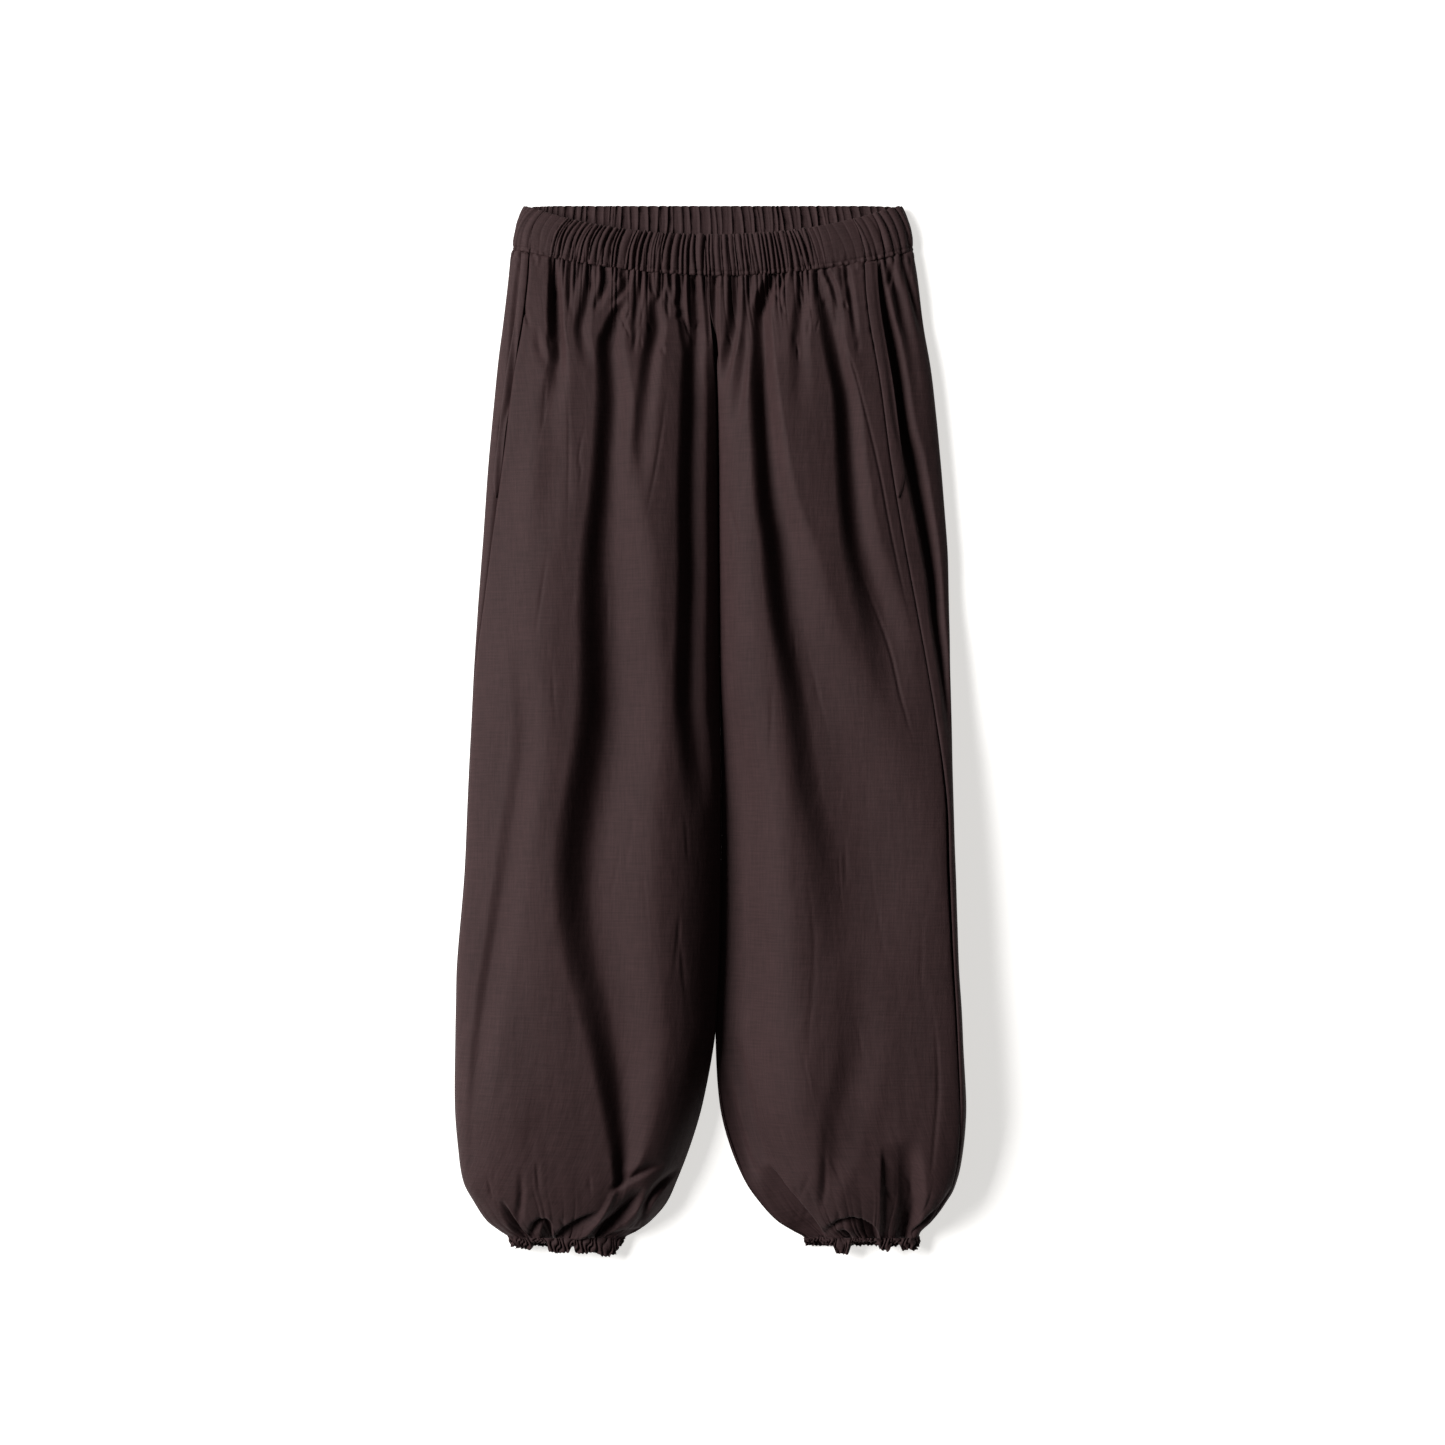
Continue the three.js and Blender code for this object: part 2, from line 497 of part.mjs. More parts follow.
// The turned edge of the pocket mouth lies on the back panel beside the side seam. Its corners are points of
// that panel's own faces, so it follows them exactly.
function pocketMouth(leg, name, columns) {
  const between = Array.from({ length: columns - 1 }, (_, i) => i + 1);
  const places = [POCKET.inset, ...between, columns - POCKET.inset];
  const rows = PANEL_ROWS.filter((y) => y <= POCKET.top && y >= POCKET.bottom);
  const face = (y, j) => {
    const run = backRun(leg, y, j);
    const point = leg.point(y, run);
    const normal = leg.normal(y, run);
    return { normal, point: point.addScaledVector(normal, leg.relief(point, normal, leg.sideDepth)) };
  };
  const outer = [];
  const inner = [];
  for (const y of rows) {
    const pairs = places.map((u) => [face(y, Math.floor(u)), face(y, Math.ceil(u)), u % 1]);
    const base = pairs.map(([a, b, t]) => a.point.clone().lerp(b.point, t));
    const normals = pairs.map(([a, b, t]) => a.normal.clone().lerp(b.normal, t).normalize());
    inner.push(base.map((p, k) => p.clone().addScaledVector(normals[k], POCKET.lift)));
    outer.push(base.map((p, k) => p.clone().addScaledVector(normals[k], POCKET.lift + POCKET.cloth)));
  }
  return piece(name, BROWN.pocket, outer, inner);
}

// Uneven widths and heights of a row of gathers: a slow and a quick wave over their numbers
const WIDTH_WAVES = { slow: 0.3, quick: 0.18 };
const HEIGHT_WAVE = { mean: 0.8, swing: 0.35 };
// Where a gather's points lie across it, and their height in heights of the gather
const GATHER_PROFILE = { trough: [0.04, -1], rise: [0.4, 0.8], crown: [0.74, 1] };
const PATCH_LIFT = 0.1; // height of the plain stretches beside the gathers

// Columns of a gathered strip: each gather has a trough and a crown of two points
function gatherColumns(length, flatStart, flatEnd, count, wave) {
  const { slow, quick } = WIDTH_WAVES;
  const width = (i) => 1 + slow * Math.sin(2.4 * i) + quick * Math.sin(5.3 * i + 1);
  const widths = Array.from({ length: count }, (_, i) => width(i));
  const scale = (length - flatStart - flatEnd) / widths.reduce((sum, w) => sum + w, 0);
  const { trough, rise, crown } = GATHER_PROFILE;
  const columns = [{ at: 0, lift: 0 }];
  if (flatStart > 0) columns.push({ at: flatStart / 2, lift: PATCH_LIFT });
  let at = flatStart;
  widths.forEach((w, i) => {
    const size = wave * (HEIGHT_WAVE.mean + HEIGHT_WAVE.swing * Math.sin(3.7 * i));
    const point = ([t, lift]) => ({ at: at + t * w * scale, lift: lift * size });
    const [first, ...rest] = [trough, rise, crown].map(point);
    if (at > 0) columns.push(first);
    columns.push(...rest);
    at += w * scale;
  });
  if (flatEnd > 0) {
    for (const share of [0.7, 0.3]) columns.push({ at: length - flatEnd * share, lift: PATCH_LIFT });
  }
  columns.push({ at: length, lift: 0 });
  return columns;
}

const RIGHT = new Leg({
  hand: -1,
  stations: RIGHT_STATIONS,
  innerPower: 5.5,
  innerFall: [1, 1],
  outerPower: [2.7, 2.7],
  folds: RIGHT_FOLDS,
  sideFolds: RIGHT_SIDE_FOLDS,
});
const LEFT = new Leg({
  hand: 1,
  stations: LEFT_STATIONS,
  innerPower: 2.3,
  innerFall: [0.85, 1.75],
  outerPower: [3, 12],
  folds: LEFT_FOLDS,
  sideFolds: LEFT_SIDE_FOLDS,
});

// The waistband crosses both legs. A place on the front half counts from the right side seam over the middle
// to the left one, and on the back half from the right side seam round under both.
function waistband(name, isFront) {
  const seamY = WAIST_SEAM_Y + SEAM_GAP / 2;
  const ys = [seamY, WAIST_SEAM_Y + BAND_HEIGHT * 0.5, WAIST_SEAM_Y + BAND_HEIGHT];
  const reach = (leg, y) => {
    const { seam, end } = leg.section(y);
    return (isFront ? seam : end - seam) - SEAM_GAP / 2;
  };
  const count = isFront ? BAND_GATHERS.front : BAND_GATHERS.back;
  const patch = isFront ? FLAT_PATCH : { right: 0, left: 0 };
  const length = reach(RIGHT, seamY) + reach(LEFT, seamY);
  const columns = gatherColumns(length, patch.right, patch.left, count, BAND_WAVE);
  const place = (y, j) => {
    const total = reach(RIGHT, y) + reach(LEFT, y);
    const at = (columns[j].at / length) * total;
    const fromMiddle = at - reach(RIGHT, y);
    const leg = fromMiddle < 0 ? RIGHT : LEFT;
    const distance = Math.abs(fromMiddle);
    return { leg, run: isFront ? distance : leg.section(y).end - distance };
  };
  const stand = (y, j, point, normal) => {
    const onFloor = smooth(-normal.z);
    return columns[j].lift - onFloor * Math.max(0, columns[j].lift);
  };
  return clothWall(name, BROWN.band, BAND_CLOTH, ys, columns.length, place, stand);
}

// Half of a cuff: the casing of the hem elastic, drawn up in small gathers, with the uneven hem edge below it
function cuff(leg, name, isFront) {
  const top = HEM_SEAM_Y - SEAM_GAP / 2;
  const middle = top - CASING_HEIGHT * 0.45;
  const ys = [top, middle, top - CASING_HEIGHT, top - CASING_HEIGHT - FRILL_DROP];
  const reach = (y) => {
    const { seam, end, edgeGap } = leg.section(y);
    return isFront ? [edgeGap, seam - SEAM_GAP / 2] : [seam + SEAM_GAP / 2, end - edgeGap];
  };
  const [from, to] = reach(top);
  const columns = gatherColumns(to - from, 0, 0, CUFF_GATHERS, CUFF_WAVE);
  const place = (y, j) => {
    const [start, stop] = reach(y);
    return { leg, run: lerp(start, stop, columns[j].at / (to - from)) };
  };
  const stand = (y, j, point, normal) => {
    const onFloor = smooth(-normal.z);
    const swell = y === middle ? CASING_SWELL : 0;
    return columns[j].lift + swell * (1 - onFloor) - onFloor * Math.max(0, columns[j].lift);
  };
  return clothWall(name, BROWN.cuff, CUFF_CLOTH, ys, columns.length, place, stand);
}

const trousers = new THREE.Group();
for (const [side, leg] of [['right', RIGHT], ['left', LEFT]]) {
  const legGroup = new THREE.Group();
  legGroup.add(frontPanel(leg, `${side}_front`), backPanel(leg, `${side}_back`));
  legGroup.add(pocketMouth(leg, `${side}_pocket_mouth`, POCKET.columns[side]));
  legGroup.add(cuff(leg, `${side}_cuff_front`, true), cuff(leg, `${side}_cuff_back`, false));
  trousers.add(legGroup);
}
trousers.add(waistband('waistband_front', true), waistband('waistband_back', false));

export default trousers;
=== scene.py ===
import math

import bpy
import numpy as np
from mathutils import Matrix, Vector


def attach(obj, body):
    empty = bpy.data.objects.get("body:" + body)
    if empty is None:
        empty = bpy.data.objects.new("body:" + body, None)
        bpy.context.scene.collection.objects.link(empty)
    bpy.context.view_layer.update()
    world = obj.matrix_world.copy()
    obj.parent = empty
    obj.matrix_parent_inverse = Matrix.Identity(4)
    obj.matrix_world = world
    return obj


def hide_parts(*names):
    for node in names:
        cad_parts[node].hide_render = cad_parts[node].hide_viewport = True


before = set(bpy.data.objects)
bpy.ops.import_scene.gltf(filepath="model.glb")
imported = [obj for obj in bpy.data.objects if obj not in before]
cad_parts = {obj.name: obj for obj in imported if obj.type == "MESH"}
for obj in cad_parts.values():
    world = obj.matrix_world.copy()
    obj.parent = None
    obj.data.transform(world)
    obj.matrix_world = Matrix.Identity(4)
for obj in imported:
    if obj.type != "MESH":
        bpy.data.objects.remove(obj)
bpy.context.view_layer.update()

# Balloon trousers laid flat. Shapes are worked out in millimetres, in the frame's own axes, and turned into
# metres when a mesh is made. The wearer's right leg is at -X.

MM = 0.001

# Driving dimensions, as the solids have them
WAIST_SEAM_Y = 430
BAND_HEIGHT = 41
HEM_SEAM_Y = -457
CASING_HEIGHT = 8
FRILL_DROP = 3
DIP_FADE = 150  # how far below the waist seam the front's sag has died out
CUFF_EASE = 14  # the height over which the folds straighten at a cuff
SOFT_FROM, SOFT_OVER = 290, 120  # above this y a leg's inner shoulder grows soft
LOWER_FROM, LOWER_OVER = 60, 150  # the shoulders of a leg change from their upper to their lower form
SAG_POWER = 8  # the sag ends just before the outer edge
FOOT_ASPECT = 1.4  # width of a rounded lower edge for its height
NORMAL_STEP = 1.2  # how far apart the points are that give a direction
SECTION_STEPS = 260  # places across the top of a ring
NOISE_ORIGIN = 100  # keeps the cells of the noise grid above zero
FACING_FROM, FACING_OVER = 0.1, 0.5  # the folds fade out where the cloth turns down

# Thickness of each shell
CLOTH, BAND_CLOTH, CUFF_CLOTH, POCKET_CLOTH = 0.7, 2.0, 0.9, 0.8

# Sag of the front waist seam and of the band's top edge: depth, x of the middle, half width and power
SAG_COLUMNS = ("depth", "middle", "half", "power")
SAGS = {
    "seam": (23.5, 10, 185, 1.8),
    "top": (27.5, 2, 172, 2.2),
}

# The legs' rings by y. outer and inner are the x of the outline, and seam that of the side seam. height is
# the crown's, side and valley are those of the outer and the inner edge, and under is that of the rounded
# lower inner edge. crest is the crown's place across, from the inner edge, and full how full the outer
# shoulder is.
STATION_COLUMNS = ("outer", "inner", "height", "side", "valley", "under", "seam", "crest", "full")
RIGHT_STATIONS = {
    472: (-166, -1, 17, 6, 17, 0, -148, 0.5, 1),
    452: (-173, -1, 18.5, 6.5, 18.5, 0, -158, 0.5, 1),
    430: (-177, -1, 20, 7, 20, 0, -161, 0.5, 1),
    400: (-181, 0, 25, 8, 19, 0, -163, 0.55, 1),
    365: (-185.5, 3.5, 30, 9, 15, 0, -167, 0.6, 0.8),
    312: (-192, 6.5, 35, 10, 11, 0, -176, 0.64, 0.6),
    240: (-198, 8, 40, 11, 9, 0, -185, 0.66, 0.5),
    168: (-203, 8.5, 43, 12, 8.5, 0.5, -195, 0.66, 0.5),
    115: (-207, 9, 46, 13, 8.5, 8.5, -202, 0.66, 0.5),
    44: (-211.5, 9.5, 49, 14, 10, 10, -211, 0.65, 0.5),
    -60: (-216.5, 10.5, 52, 15, 14, 14, -216, 0.64, 0.5),
    -130: (-219.5, 10.5, 54, 16, 15, 15, -219, 0.62, 0.5),
    -210: (-226, 9, 55, 17, 15, 15, -225.5, 0.58, 0.6),
    -248: (-227, 6.8, 55, 17, 15, 15, -226.5, 0.56, 0.7),
    -278: (-227.5, 4.8, 55, 18, 15, 15, -227, 0.55, 0.8),
    -336: (-228, -6, 54, 17, 14, 14, -227.5, 0.53, 1),
    -372: (-225.5, -16.5, 51, 16, 13, 13, -225, 0.5, 1),
    -406: (-220.5, -29.5, 45, 14, 12, 12, -220, 0.5, 1),
    -426: (-210, -39, 38, 12, 12, 12, -209, 0.5, 1),
    -442: (-199, -53, 30, 10, 10, 10, -198, 0.5, 1),
    -451: (-188, -65, 23, 8, 8, 8, -187, 0.5, 1),
    -457: (-180, -76, 18, 7, 7, 7, -179, 0.5, 1),
    -472: (-177, -80, 16, 6, 6, 6, -176, 0.5, 1),
}
LEFT_STATIONS = {
    472: (172, -1, 17, 6, 17, 0, 128, 0.5, 1),
    452: (179, -1, 18.5, 6.5, 18.5, 0, 135, 0.5, 1),
    430: (183, -1, 20, 7, 20, 0, 138.5, 0.5, 1),
    400: (187.5, 0, 25, 8, 19, 0, 140, 0.45, 1),
    365: (192, 3.5, 29, 9, 15, 0, 144, 0.38, 0.9),
    312: (200, 6.5, 33, 10, 11, 0, 152.5, 0.26, 0.8),
    240: (207.5, 8, 37, 11, 9, 0, 162, 0.22, 0.7),
    168: (213, 8.5, 40, 12, 8.5, 0.5, 174, 0.2, 0.6),
    115: (214.5, 9, 42, 13, 8.5, 8.5, 184, 0.21, 0.55),
    44: (215.5, 9.5, 44, 22, 8, 8, 196.5, 0.25, 0.6),
    -60: (217.5, 10.5, 46, 32, 8, 8, 212, 0.3, 0.85),
    -130: (219, 10.5, 48, 37, 8, 8, 214.5, 0.32, 1),
    -210: (222, 9, 51, 39, 8, 8, 218, 0.35, 1),
    -248: (224.5, 6.8, 52, 40, 8, 8, 220, 0.37, 1),
    -278: (226, 5.4, 53, 40, 8, 8, 221.5, 0.38, 1),
    -336: (229, 9, 53, 38, 8, 8, 223.5, 0.4, 1),
    -372: (226.5, 17.5, 50, 32, 8, 8, 222.5, 0.43, 1),
    -406: (220.5, 32, 45, 22, 12, 12, 217, 0.46, 1),
    -426: (211, 46, 38, 14, 12, 12, 208, 0.5, 1),
    -442: (199, 61, 30, 10, 10, 10, 197, 0.5, 1),
    -451: (190, 75, 23, 8, 8, 8, 189, 0.5, 1),
    -457: (188, 85, 18, 7, 7, 7, 187, 0.5, 1),
    -472: (187, 86, 16, 6, 6, 6, 186, 0.5, 1),
}

# Troughs that run down the front. Each row is a y, the x of the middle of the west slope, the depth, and the
# reach of the west and east slopes.
FOLD_COLUMNS = ("y", "x", "depth", "west", "east")
RIGHT_FOLDS = {
    "wedge": ((424, -141.5, 3, 5, 6), (400, -142, 8, 6, 8), (385, -142, 10, 7, 9), (367, -142, 11, 8, 9),
              (352, -141, 10, 9, 9), (335, -140, 8.5, 10, 10), (315, -142, 5.5, 12, 12),
              (285, -148, 3, 16, 18), (220, -150, 3, 20, 24), (150, -157, 0, 20, 24)),
    "long_trough": ((384, -80, 0, 6, 6), (372, -86, 5, 8, 9), (358, -91, 8, 12, 12),
                    (345, -95, 9.5, 14, 14), (296, -94, 11, 17, 20), (242, -97, 12, 18, 24),
                    (206, -99.5, 13, 20, 32), (170, -103, 15, 23, 44), (116, -105, 18, 27, 50),
                    (26, -104, 21, 31, 54), (-19, -108.5, 20.5, 33, 58), (-64, -115.5, 20.5, 35, 60),
                    (-109, -121, 19.5, 36, 62), (-154, -122, 18.5, 36, 62), (-199, -115.5, 16.5, 35, 58),
                    (-244, -104, 14, 32, 52), (-289, -95, 14.5, 26, 44), (-334, -88, 13, 21, 34),
                    (-370, -83, 11, 16, 22), (-397, -82, 8, 9, 10), (-412, -84, 0, 6, 6)),
    "middle_trough": ((388, -50, 0, 6, 6), (376, -52, 4, 9, 8), (358, -52, 6, 12, 9),
                      (332, -57, 5.5, 12, 10), (296, -61.5, 4.5, 12, 12), (242, -68, 3, 13, 14),
                      (196, -72, 0, 14, 14)),
    "inner_trough": ((412, -18, 2, 6, 6), (399, -17.5, 5, 9, 7), (358, -17.5, 7.5, 14, 9),
                     (332, -19, 8, 15, 9), (296, -20, 8, 17, 10), (206, -22, 8, 18, 11),
                     (134, -21.5, 8, 18, 11), (26, -24, 7, 20, 12), (-19, -20, 5, 20, 12),
                     (-75, -16, 0, 20, 12)),
    "outer_hollow": ((90, -178, 0, 10, 20), (0, -171, 2.5, 12, 24), (-100, -183, 3.5, 12, 26),
                     (-172, -194, 4, 10, 26), (-244, -205, 3.5, 9, 24), (-334, -214, 2, 7, 20),
                     (-390, -214, 0, 7, 16)),
}
LEFT_FOLDS = {
    "near_tuck": ((417, 21, 2, 5, 6), (394, 19.5, 5, 8, 7), (372, 18.5, 6, 9, 7), (350, 16, 6, 9, 7),
                  (331, 12, 5, 9, 7), (305, 7, 0, 8, 7)),
    "second_tuck": ((415, 34.5, 2, 5, 6), (385, 31, 4.5, 8, 7), (358, 27.5, 5.5, 9, 8),
                    (341, 26.5, 5.5, 9, 8), (296, 21, 3.5, 10, 9), (262, 17, 0, 10, 9)),
    "long_trough": ((416, 57, 3, 6, 7), (399, 50, 7, 9, 9), (385, 44, 11, 11, 10),
                    (372, 39.5, 13, 12, 12), (345, 38.5, 14, 13, 13), (314, 40, 15, 14, 15),
                    (269, 42.5, 15.5, 16, 18), (206, 47, 16, 19, 24), (170, 53.5, 16, 21, 30),
                    (98, 61.5, 15, 23, 46), (26, 75, 13, 27, 66), (-19, 80.5, 12, 29, 80),
                    (-64, 87, 11, 34, 90), (-109, 97.5, 9, 38, 90), (-154, 103, 6, 40, 90),
                    (-215, 110, 0, 40, 90)),
    "middle_tuck": ((417, 79.5, 2, 6, 6), (385, 79, 4, 9, 8), (358, 76, 4, 10, 9), (320, 75, 2.5, 12, 12),
                    (280, 75, 0, 12, 12)),
    "hip_trough": ((415, 91, 2, 7, 7), (386, 97.5, 5, 10, 9), (359, 103, 7.5, 14, 10),
                   (323, 110, 9.5, 15, 10), (296, 115.5, 10.5, 16, 12), (224, 120, 10.5, 18, 15),
                   (170, 124.5, 10, 20, 20), (98, 141, 7, 26, 26), (62, 147, 4, 26, 26),
                   (15, 153, 0, 26, 26)),
    "outer_shelf": ((20, 118, 0, 60, 200), (-50, 117, 3, 62, 200), (-118, 116, 5, 64, 200),
                    (-180, 114, 4, 66, 200), (-244, 112, 3, 68, 200), (-320, 112, 2, 66, 180),
                    (-390, 115, 0, 50, 120)),
    "lower_crease": ((-200, 122, 0, 22, 24), (-250, 119, 2, 22, 26), (-300, 116, 3, 24, 30),
                     (-350, 106, 3.5, 22, 30), (-400, 100, 3, 14, 20), (-432, 99, 0, 8, 10)),
    "hem_pocket": ((-366, 165, 0, 18, 12), (-382, 165, 6, 24, 14), (-405, 166, 10, 26, 14),
                   (-425, 167, 11, 26, 13), (-442, 168, 13, 22, 10), (-457, 168, 9, 14, 8)),
    "pocket_edge": ((-370, 153, 0, 4, 14), (-385, 153.5, 3, 4, 14), (-405, 153.5, 4, 4, 14),
                    (-440, 154, 5, 4, 14), (-457, 155, 2, 4, 10)),
}
RIGHT_SIDE_FOLDS = {
    "beside_seam": ((425, -170, 1, 4, 4), (380, -176, 2.5, 5, 4), (332, -179, 3.5, 6, 5),
                    (296, -182, 3.5, 6, 5), (269, -188, 3, 5, 5), (215, -191, 2, 4, 4),
                    (150, -199, 0, 4, 4)),
}
LEFT_SIDE_FOLDS = {
    "beside_seam": ((425, 146, 3, 6, 6), (399, 149, 6, 7, 7), (372, 152.5, 9, 9, 9),
                    (345, 157.5, 11, 10, 11), (314, 162, 12, 11, 12), (269, 168, 13, 11, 13),
                    (242, 176, 13, 12, 12), (206, 184, 13, 12, 10), (170, 191, 12, 11, 9),
                    (134, 197, 10, 10, 7), (98, 200, 8, 9, 7), (62, 205, 6, 8, 6), (26, 209, 3.5, 7, 5),
                    (-10, 211, 0, 6, 4)),
    "second_tuck": ((420, 157, 2, 5, 5), (394, 164, 4, 8, 7), (367, 169.5, 3.5, 9, 8),
                    (345, 175, 2, 9, 8), (300, 180, 1, 9, 8), (260, 184, 0, 8, 8)),
    "third_tuck": ((420, 172, 2, 4, 4), (403, 176, 3, 5, 5), (381, 182, 3, 5, 5), (350, 189, 0, 5, 5)),
}

# Small tucks that the gathered seam starts, in the same columns
RIGHT_TUCKS = {
    "a": ((420, -128, 2, 4, 4), (386, -127, 2, 4, 4), (366, -125, 0, 4, 4)),
    "b": ((416, -117, 1.5, 4, 5), (399, -122, 2, 6, 5), (380, -126, 0, 6, 5)),
    "c": ((416, -107, 2, 5, 5), (386, -112, 4, 8, 7), (358, -118, 4.5, 9, 9), (340, -116, 3, 9, 9),
          (320, -112, 0, 9, 9)),
    "d": ((420, -98.5, 2.5, 5, 5), (400, -95, 4, 7, 6), (382, -102, 3.5, 8, 6), (370, -106, 0, 7, 6)),
    "e": ((420, -79.5, 2.5, 5, 5), (394, -79, 4, 7, 6), (384, -86, 2, 6, 6), (376, -90, 0, 5, 5)),
    "f": ((418, -71.5, 2, 4, 4), (405, -73, 2.5, 4, 4), (392, -76, 0, 4, 4)),
    "g": ((418, -62.5, 2, 4, 4), (394, -65, 3, 5, 5), (367, -68, 2, 5, 5), (345, -70, 0, 5, 5)),
    "h": ((416, -55, 2, 4, 3), (396, -53.5, 3, 4, 3), (385, -50, 0, 3, 3)),
    "i": ((420, -44.5, 2.5, 5, 4), (400, -44.5, 4, 6, 4), (388, -46, 3, 5, 4), (380, -48, 0, 4, 4)),
    "j": ((418, -40, 2, 4, 4), (399, -36, 2.5, 4, 4), (384, -34, 0, 4, 4)),
    "k": ((418, -28.5, 2.5, 5, 5), (386, -28.5, 4, 6, 6), (358, -25.5, 3, 6, 6), (335, -24, 0, 6, 6)),
    "l": ((408, -4, 2.5, 5, 5), (385, -5, 3.5, 6, 5), (358, -3, 3, 6, 5), (340, -2, 0, 5, 5)),
}
LEFT_TUCKS = {
    "a": ((417, 2.5, 2.5, 5, 5), (385, 1.5, 4.5, 7, 5), (340, 1.5, 4, 7, 5), (310, 2, 0, 6, 5)),
    "b": ((415, 67, 2.5, 5, 5), (399, 61, 3.5, 6, 5), (386, 55, 0, 5, 5)),
    "c": ((415, 101, 2.5, 4, 4), (395, 108, 4, 6, 5), (370, 113, 2.5, 6, 5), (350, 116, 0, 6, 5)),
    "d": ((417, 120, 2, 4, 4), (386, 124, 3.5, 5, 5), (360, 127.5, 2, 5, 5), (345, 129, 0, 5, 5)),
}

# Creases placed along their own lines. Each row is an x, a y, a depth, and the reach to the left and to the
# right of the line, looking along it. A ridge has a negative depth.
CREASE_COLUMNS = ("x", "y", "depth", "left", "right")
RIGHT_CREASES = {
    "hem_slit": ((-185, -420, 0, 3, 6), (-177, -436, 6.5, 2.5, 7), (-169, -449, 8, 2.5, 7),
                 (-161, -459, 4, 3, 6)),
    "hem_soft": ((-167, -390, 0, 5, 5), (-167, -412, 2.5, 5, 5), (-169, -430, 2.5, 5, 5),
                 (-171, -444, 0, 5, 5)),
    "hem_cup": ((-160, -452, 3, 3, 7), (-156, -443, 7, 3, 9), (-149, -439, 8, 3, 10),
                (-143, -442, 9, 3, 12), (-141.5, -458, 7, 2.5, 10)),
    "hem_leaf": ((-141, -459, 5, 3, 9), (-129, -447, 9, 3, 12), (-115, -438, 8, 3, 11),
                 (-97, -430.5, 0, 3, 6)),
    "hem_ridge": ((-83, -409, -1.5, 4, 5), (-92, -429, -3, 4, 5), (-107, -449, -3.5, 4, 5),
                  (-123, -461, -1, 4, 4)),
    "hem_deep": ((-58, -408, 0, 6, 10), (-66, -422, 8, 6, 12), (-79, -438, 13, 6, 12),
                 (-97, -452, 11, 5, 10), (-107, -461, 5, 4, 6)),
    "hem_under": ((-40, -386, 0, 3, 9), (-60, -396, 5, 2.5, 9), (-80, -407, 4, 2.5, 7),
                  (-88, -413, 0, 3, 6)),
    "hem_inner_ridge": ((-26, -392, 0, 4, 6), (-42, -408, 5, 3, 9), (-54, -424, 5, 3, 9),
                        (-60, -444, 2, 3, 6)),
    "hem_low": ((-100, -459, 1, 4, 4), (-84, -452, 3, 3, 5), (-66, -450, 2, 3, 5), (-60, -451, 0, 3, 4)),
    "knee_line": ((-146, 111, 0, 2.5, 2.5), (-121, 118, 0.9, 2.5, 2.5), (-111, 123, 0, 2.5, 2.5)),
    "double_a": ((-126, 315, 0, 2, 2), (-125, 240, 0.7, 2, 2), (-126, 165, 0, 2, 2)),
    "double_b": ((-109, 278, 0, 2, 2), (-116, 242, 0.8, 2, 2), (-114, 230, 0.8, 2, 2),
                 (-116, 210, 0, 2, 2)),
    "inner_line": ((-36, 314, 0, 2, 2), (-43, 260, 0.8, 2, 2), (-49, 224, 0.9, 2, 2),
                   (-58, 180, 0, 2, 2)),
    "facet": ((-154, 360, 0, 4, 4), (-152, 340, 2, 5, 6), (-144, 325, 2, 5, 6), (-136, 318, 0, 5, 5)),
}
LEFT_CREASES = {
    "hem_leaf": ((52, -390, 0, 3, 14), (66, -408, 9, 2.5, 20), (80, -425, 13, 2.5, 22),
                 (94, -443, 13, 2.5, 20), (101, -456, 7, 3, 12)),
    "hem_centre": ((104, -350, 0, 4, 5), (102.5, -385, 1, 4, 5), (101.5, -410, 2, 5, 6),
                   (99, -430, 0, 4, 4)),
    "hem_arc": ((104, -449, 2, 2.5, 8), (116, -440, 6, 2.5, 9), (131, -438, 9, 2.5, 12),
                (145, -446, 12, 3, 14), (150, -456, 8, 3, 10)),
    "hem_curl": ((112, -452, 1, 2.5, 6), (120, -450, 6, 2.5, 7), (126, -456, 7, 2.5, 7),
                 (127, -461, 2, 3, 5)),
    "hem_edge": ((216, -408, 0, 3, 3), (206, -427, 4.5, 3.5, 3.5), (193, -441, 5.5, 3.5, 4),
                 (183, -453, 4, 3, 4)),
    "facet_line": ((20, -270, 0, 5, 6), (30, -305, 2.5, 6, 10), (38, -343, 4, 7, 14),
                   (48, -375, 2, 6, 12), (58, -395, 0, 6, 8)),
    "inner_flat": ((14, -300, 0, 8, 12), (21, -340, 4, 6, 14), (32, -380, 4, 6, 14), (44, -405, 0, 6, 8)),
    "long_line": ((115, 386, 0, 2, 2), (120, 345, 0.8, 2, 2), (131, 314, 1, 2, 2), (149, 242, 1.1, 2, 2),
                  (163, 170, 1.1, 2, 2), (180, 93, 0, 2, 2)),
    "hip_line": ((131, 152, 0, 2.5, 2.5), (159, 80, 1.1, 2.5, 2.5), (171, 26, 1, 2.5, 2.5),
                 (183, -15, 0, 2.5, 2.5)),
    "crotch_line": ((11, 215, 0, 2, 2), (23, 179, 1, 2.5, 2.5), (27, 152, 0, 2, 2)),
    "shin_line": ((85, -115, 0, 4, 4), (93, -190, 0.5, 4, 4), (89, -260, 0.4, 4, 4), (82, -320, 0, 4, 4)),
    "calf_line": ((198, -245, 0, 2.5, 2.5), (203, -310, 1, 3, 3), (199, -372, 0.8, 3, 3),
                  (196, -400, 0, 2, 2)),
}


def lerp(a, b, t):
    return a + (b - a) * t


def smooth(t):
    t = np.clip(t, 0, 1)
    return t * t * (3 - 2 * t)


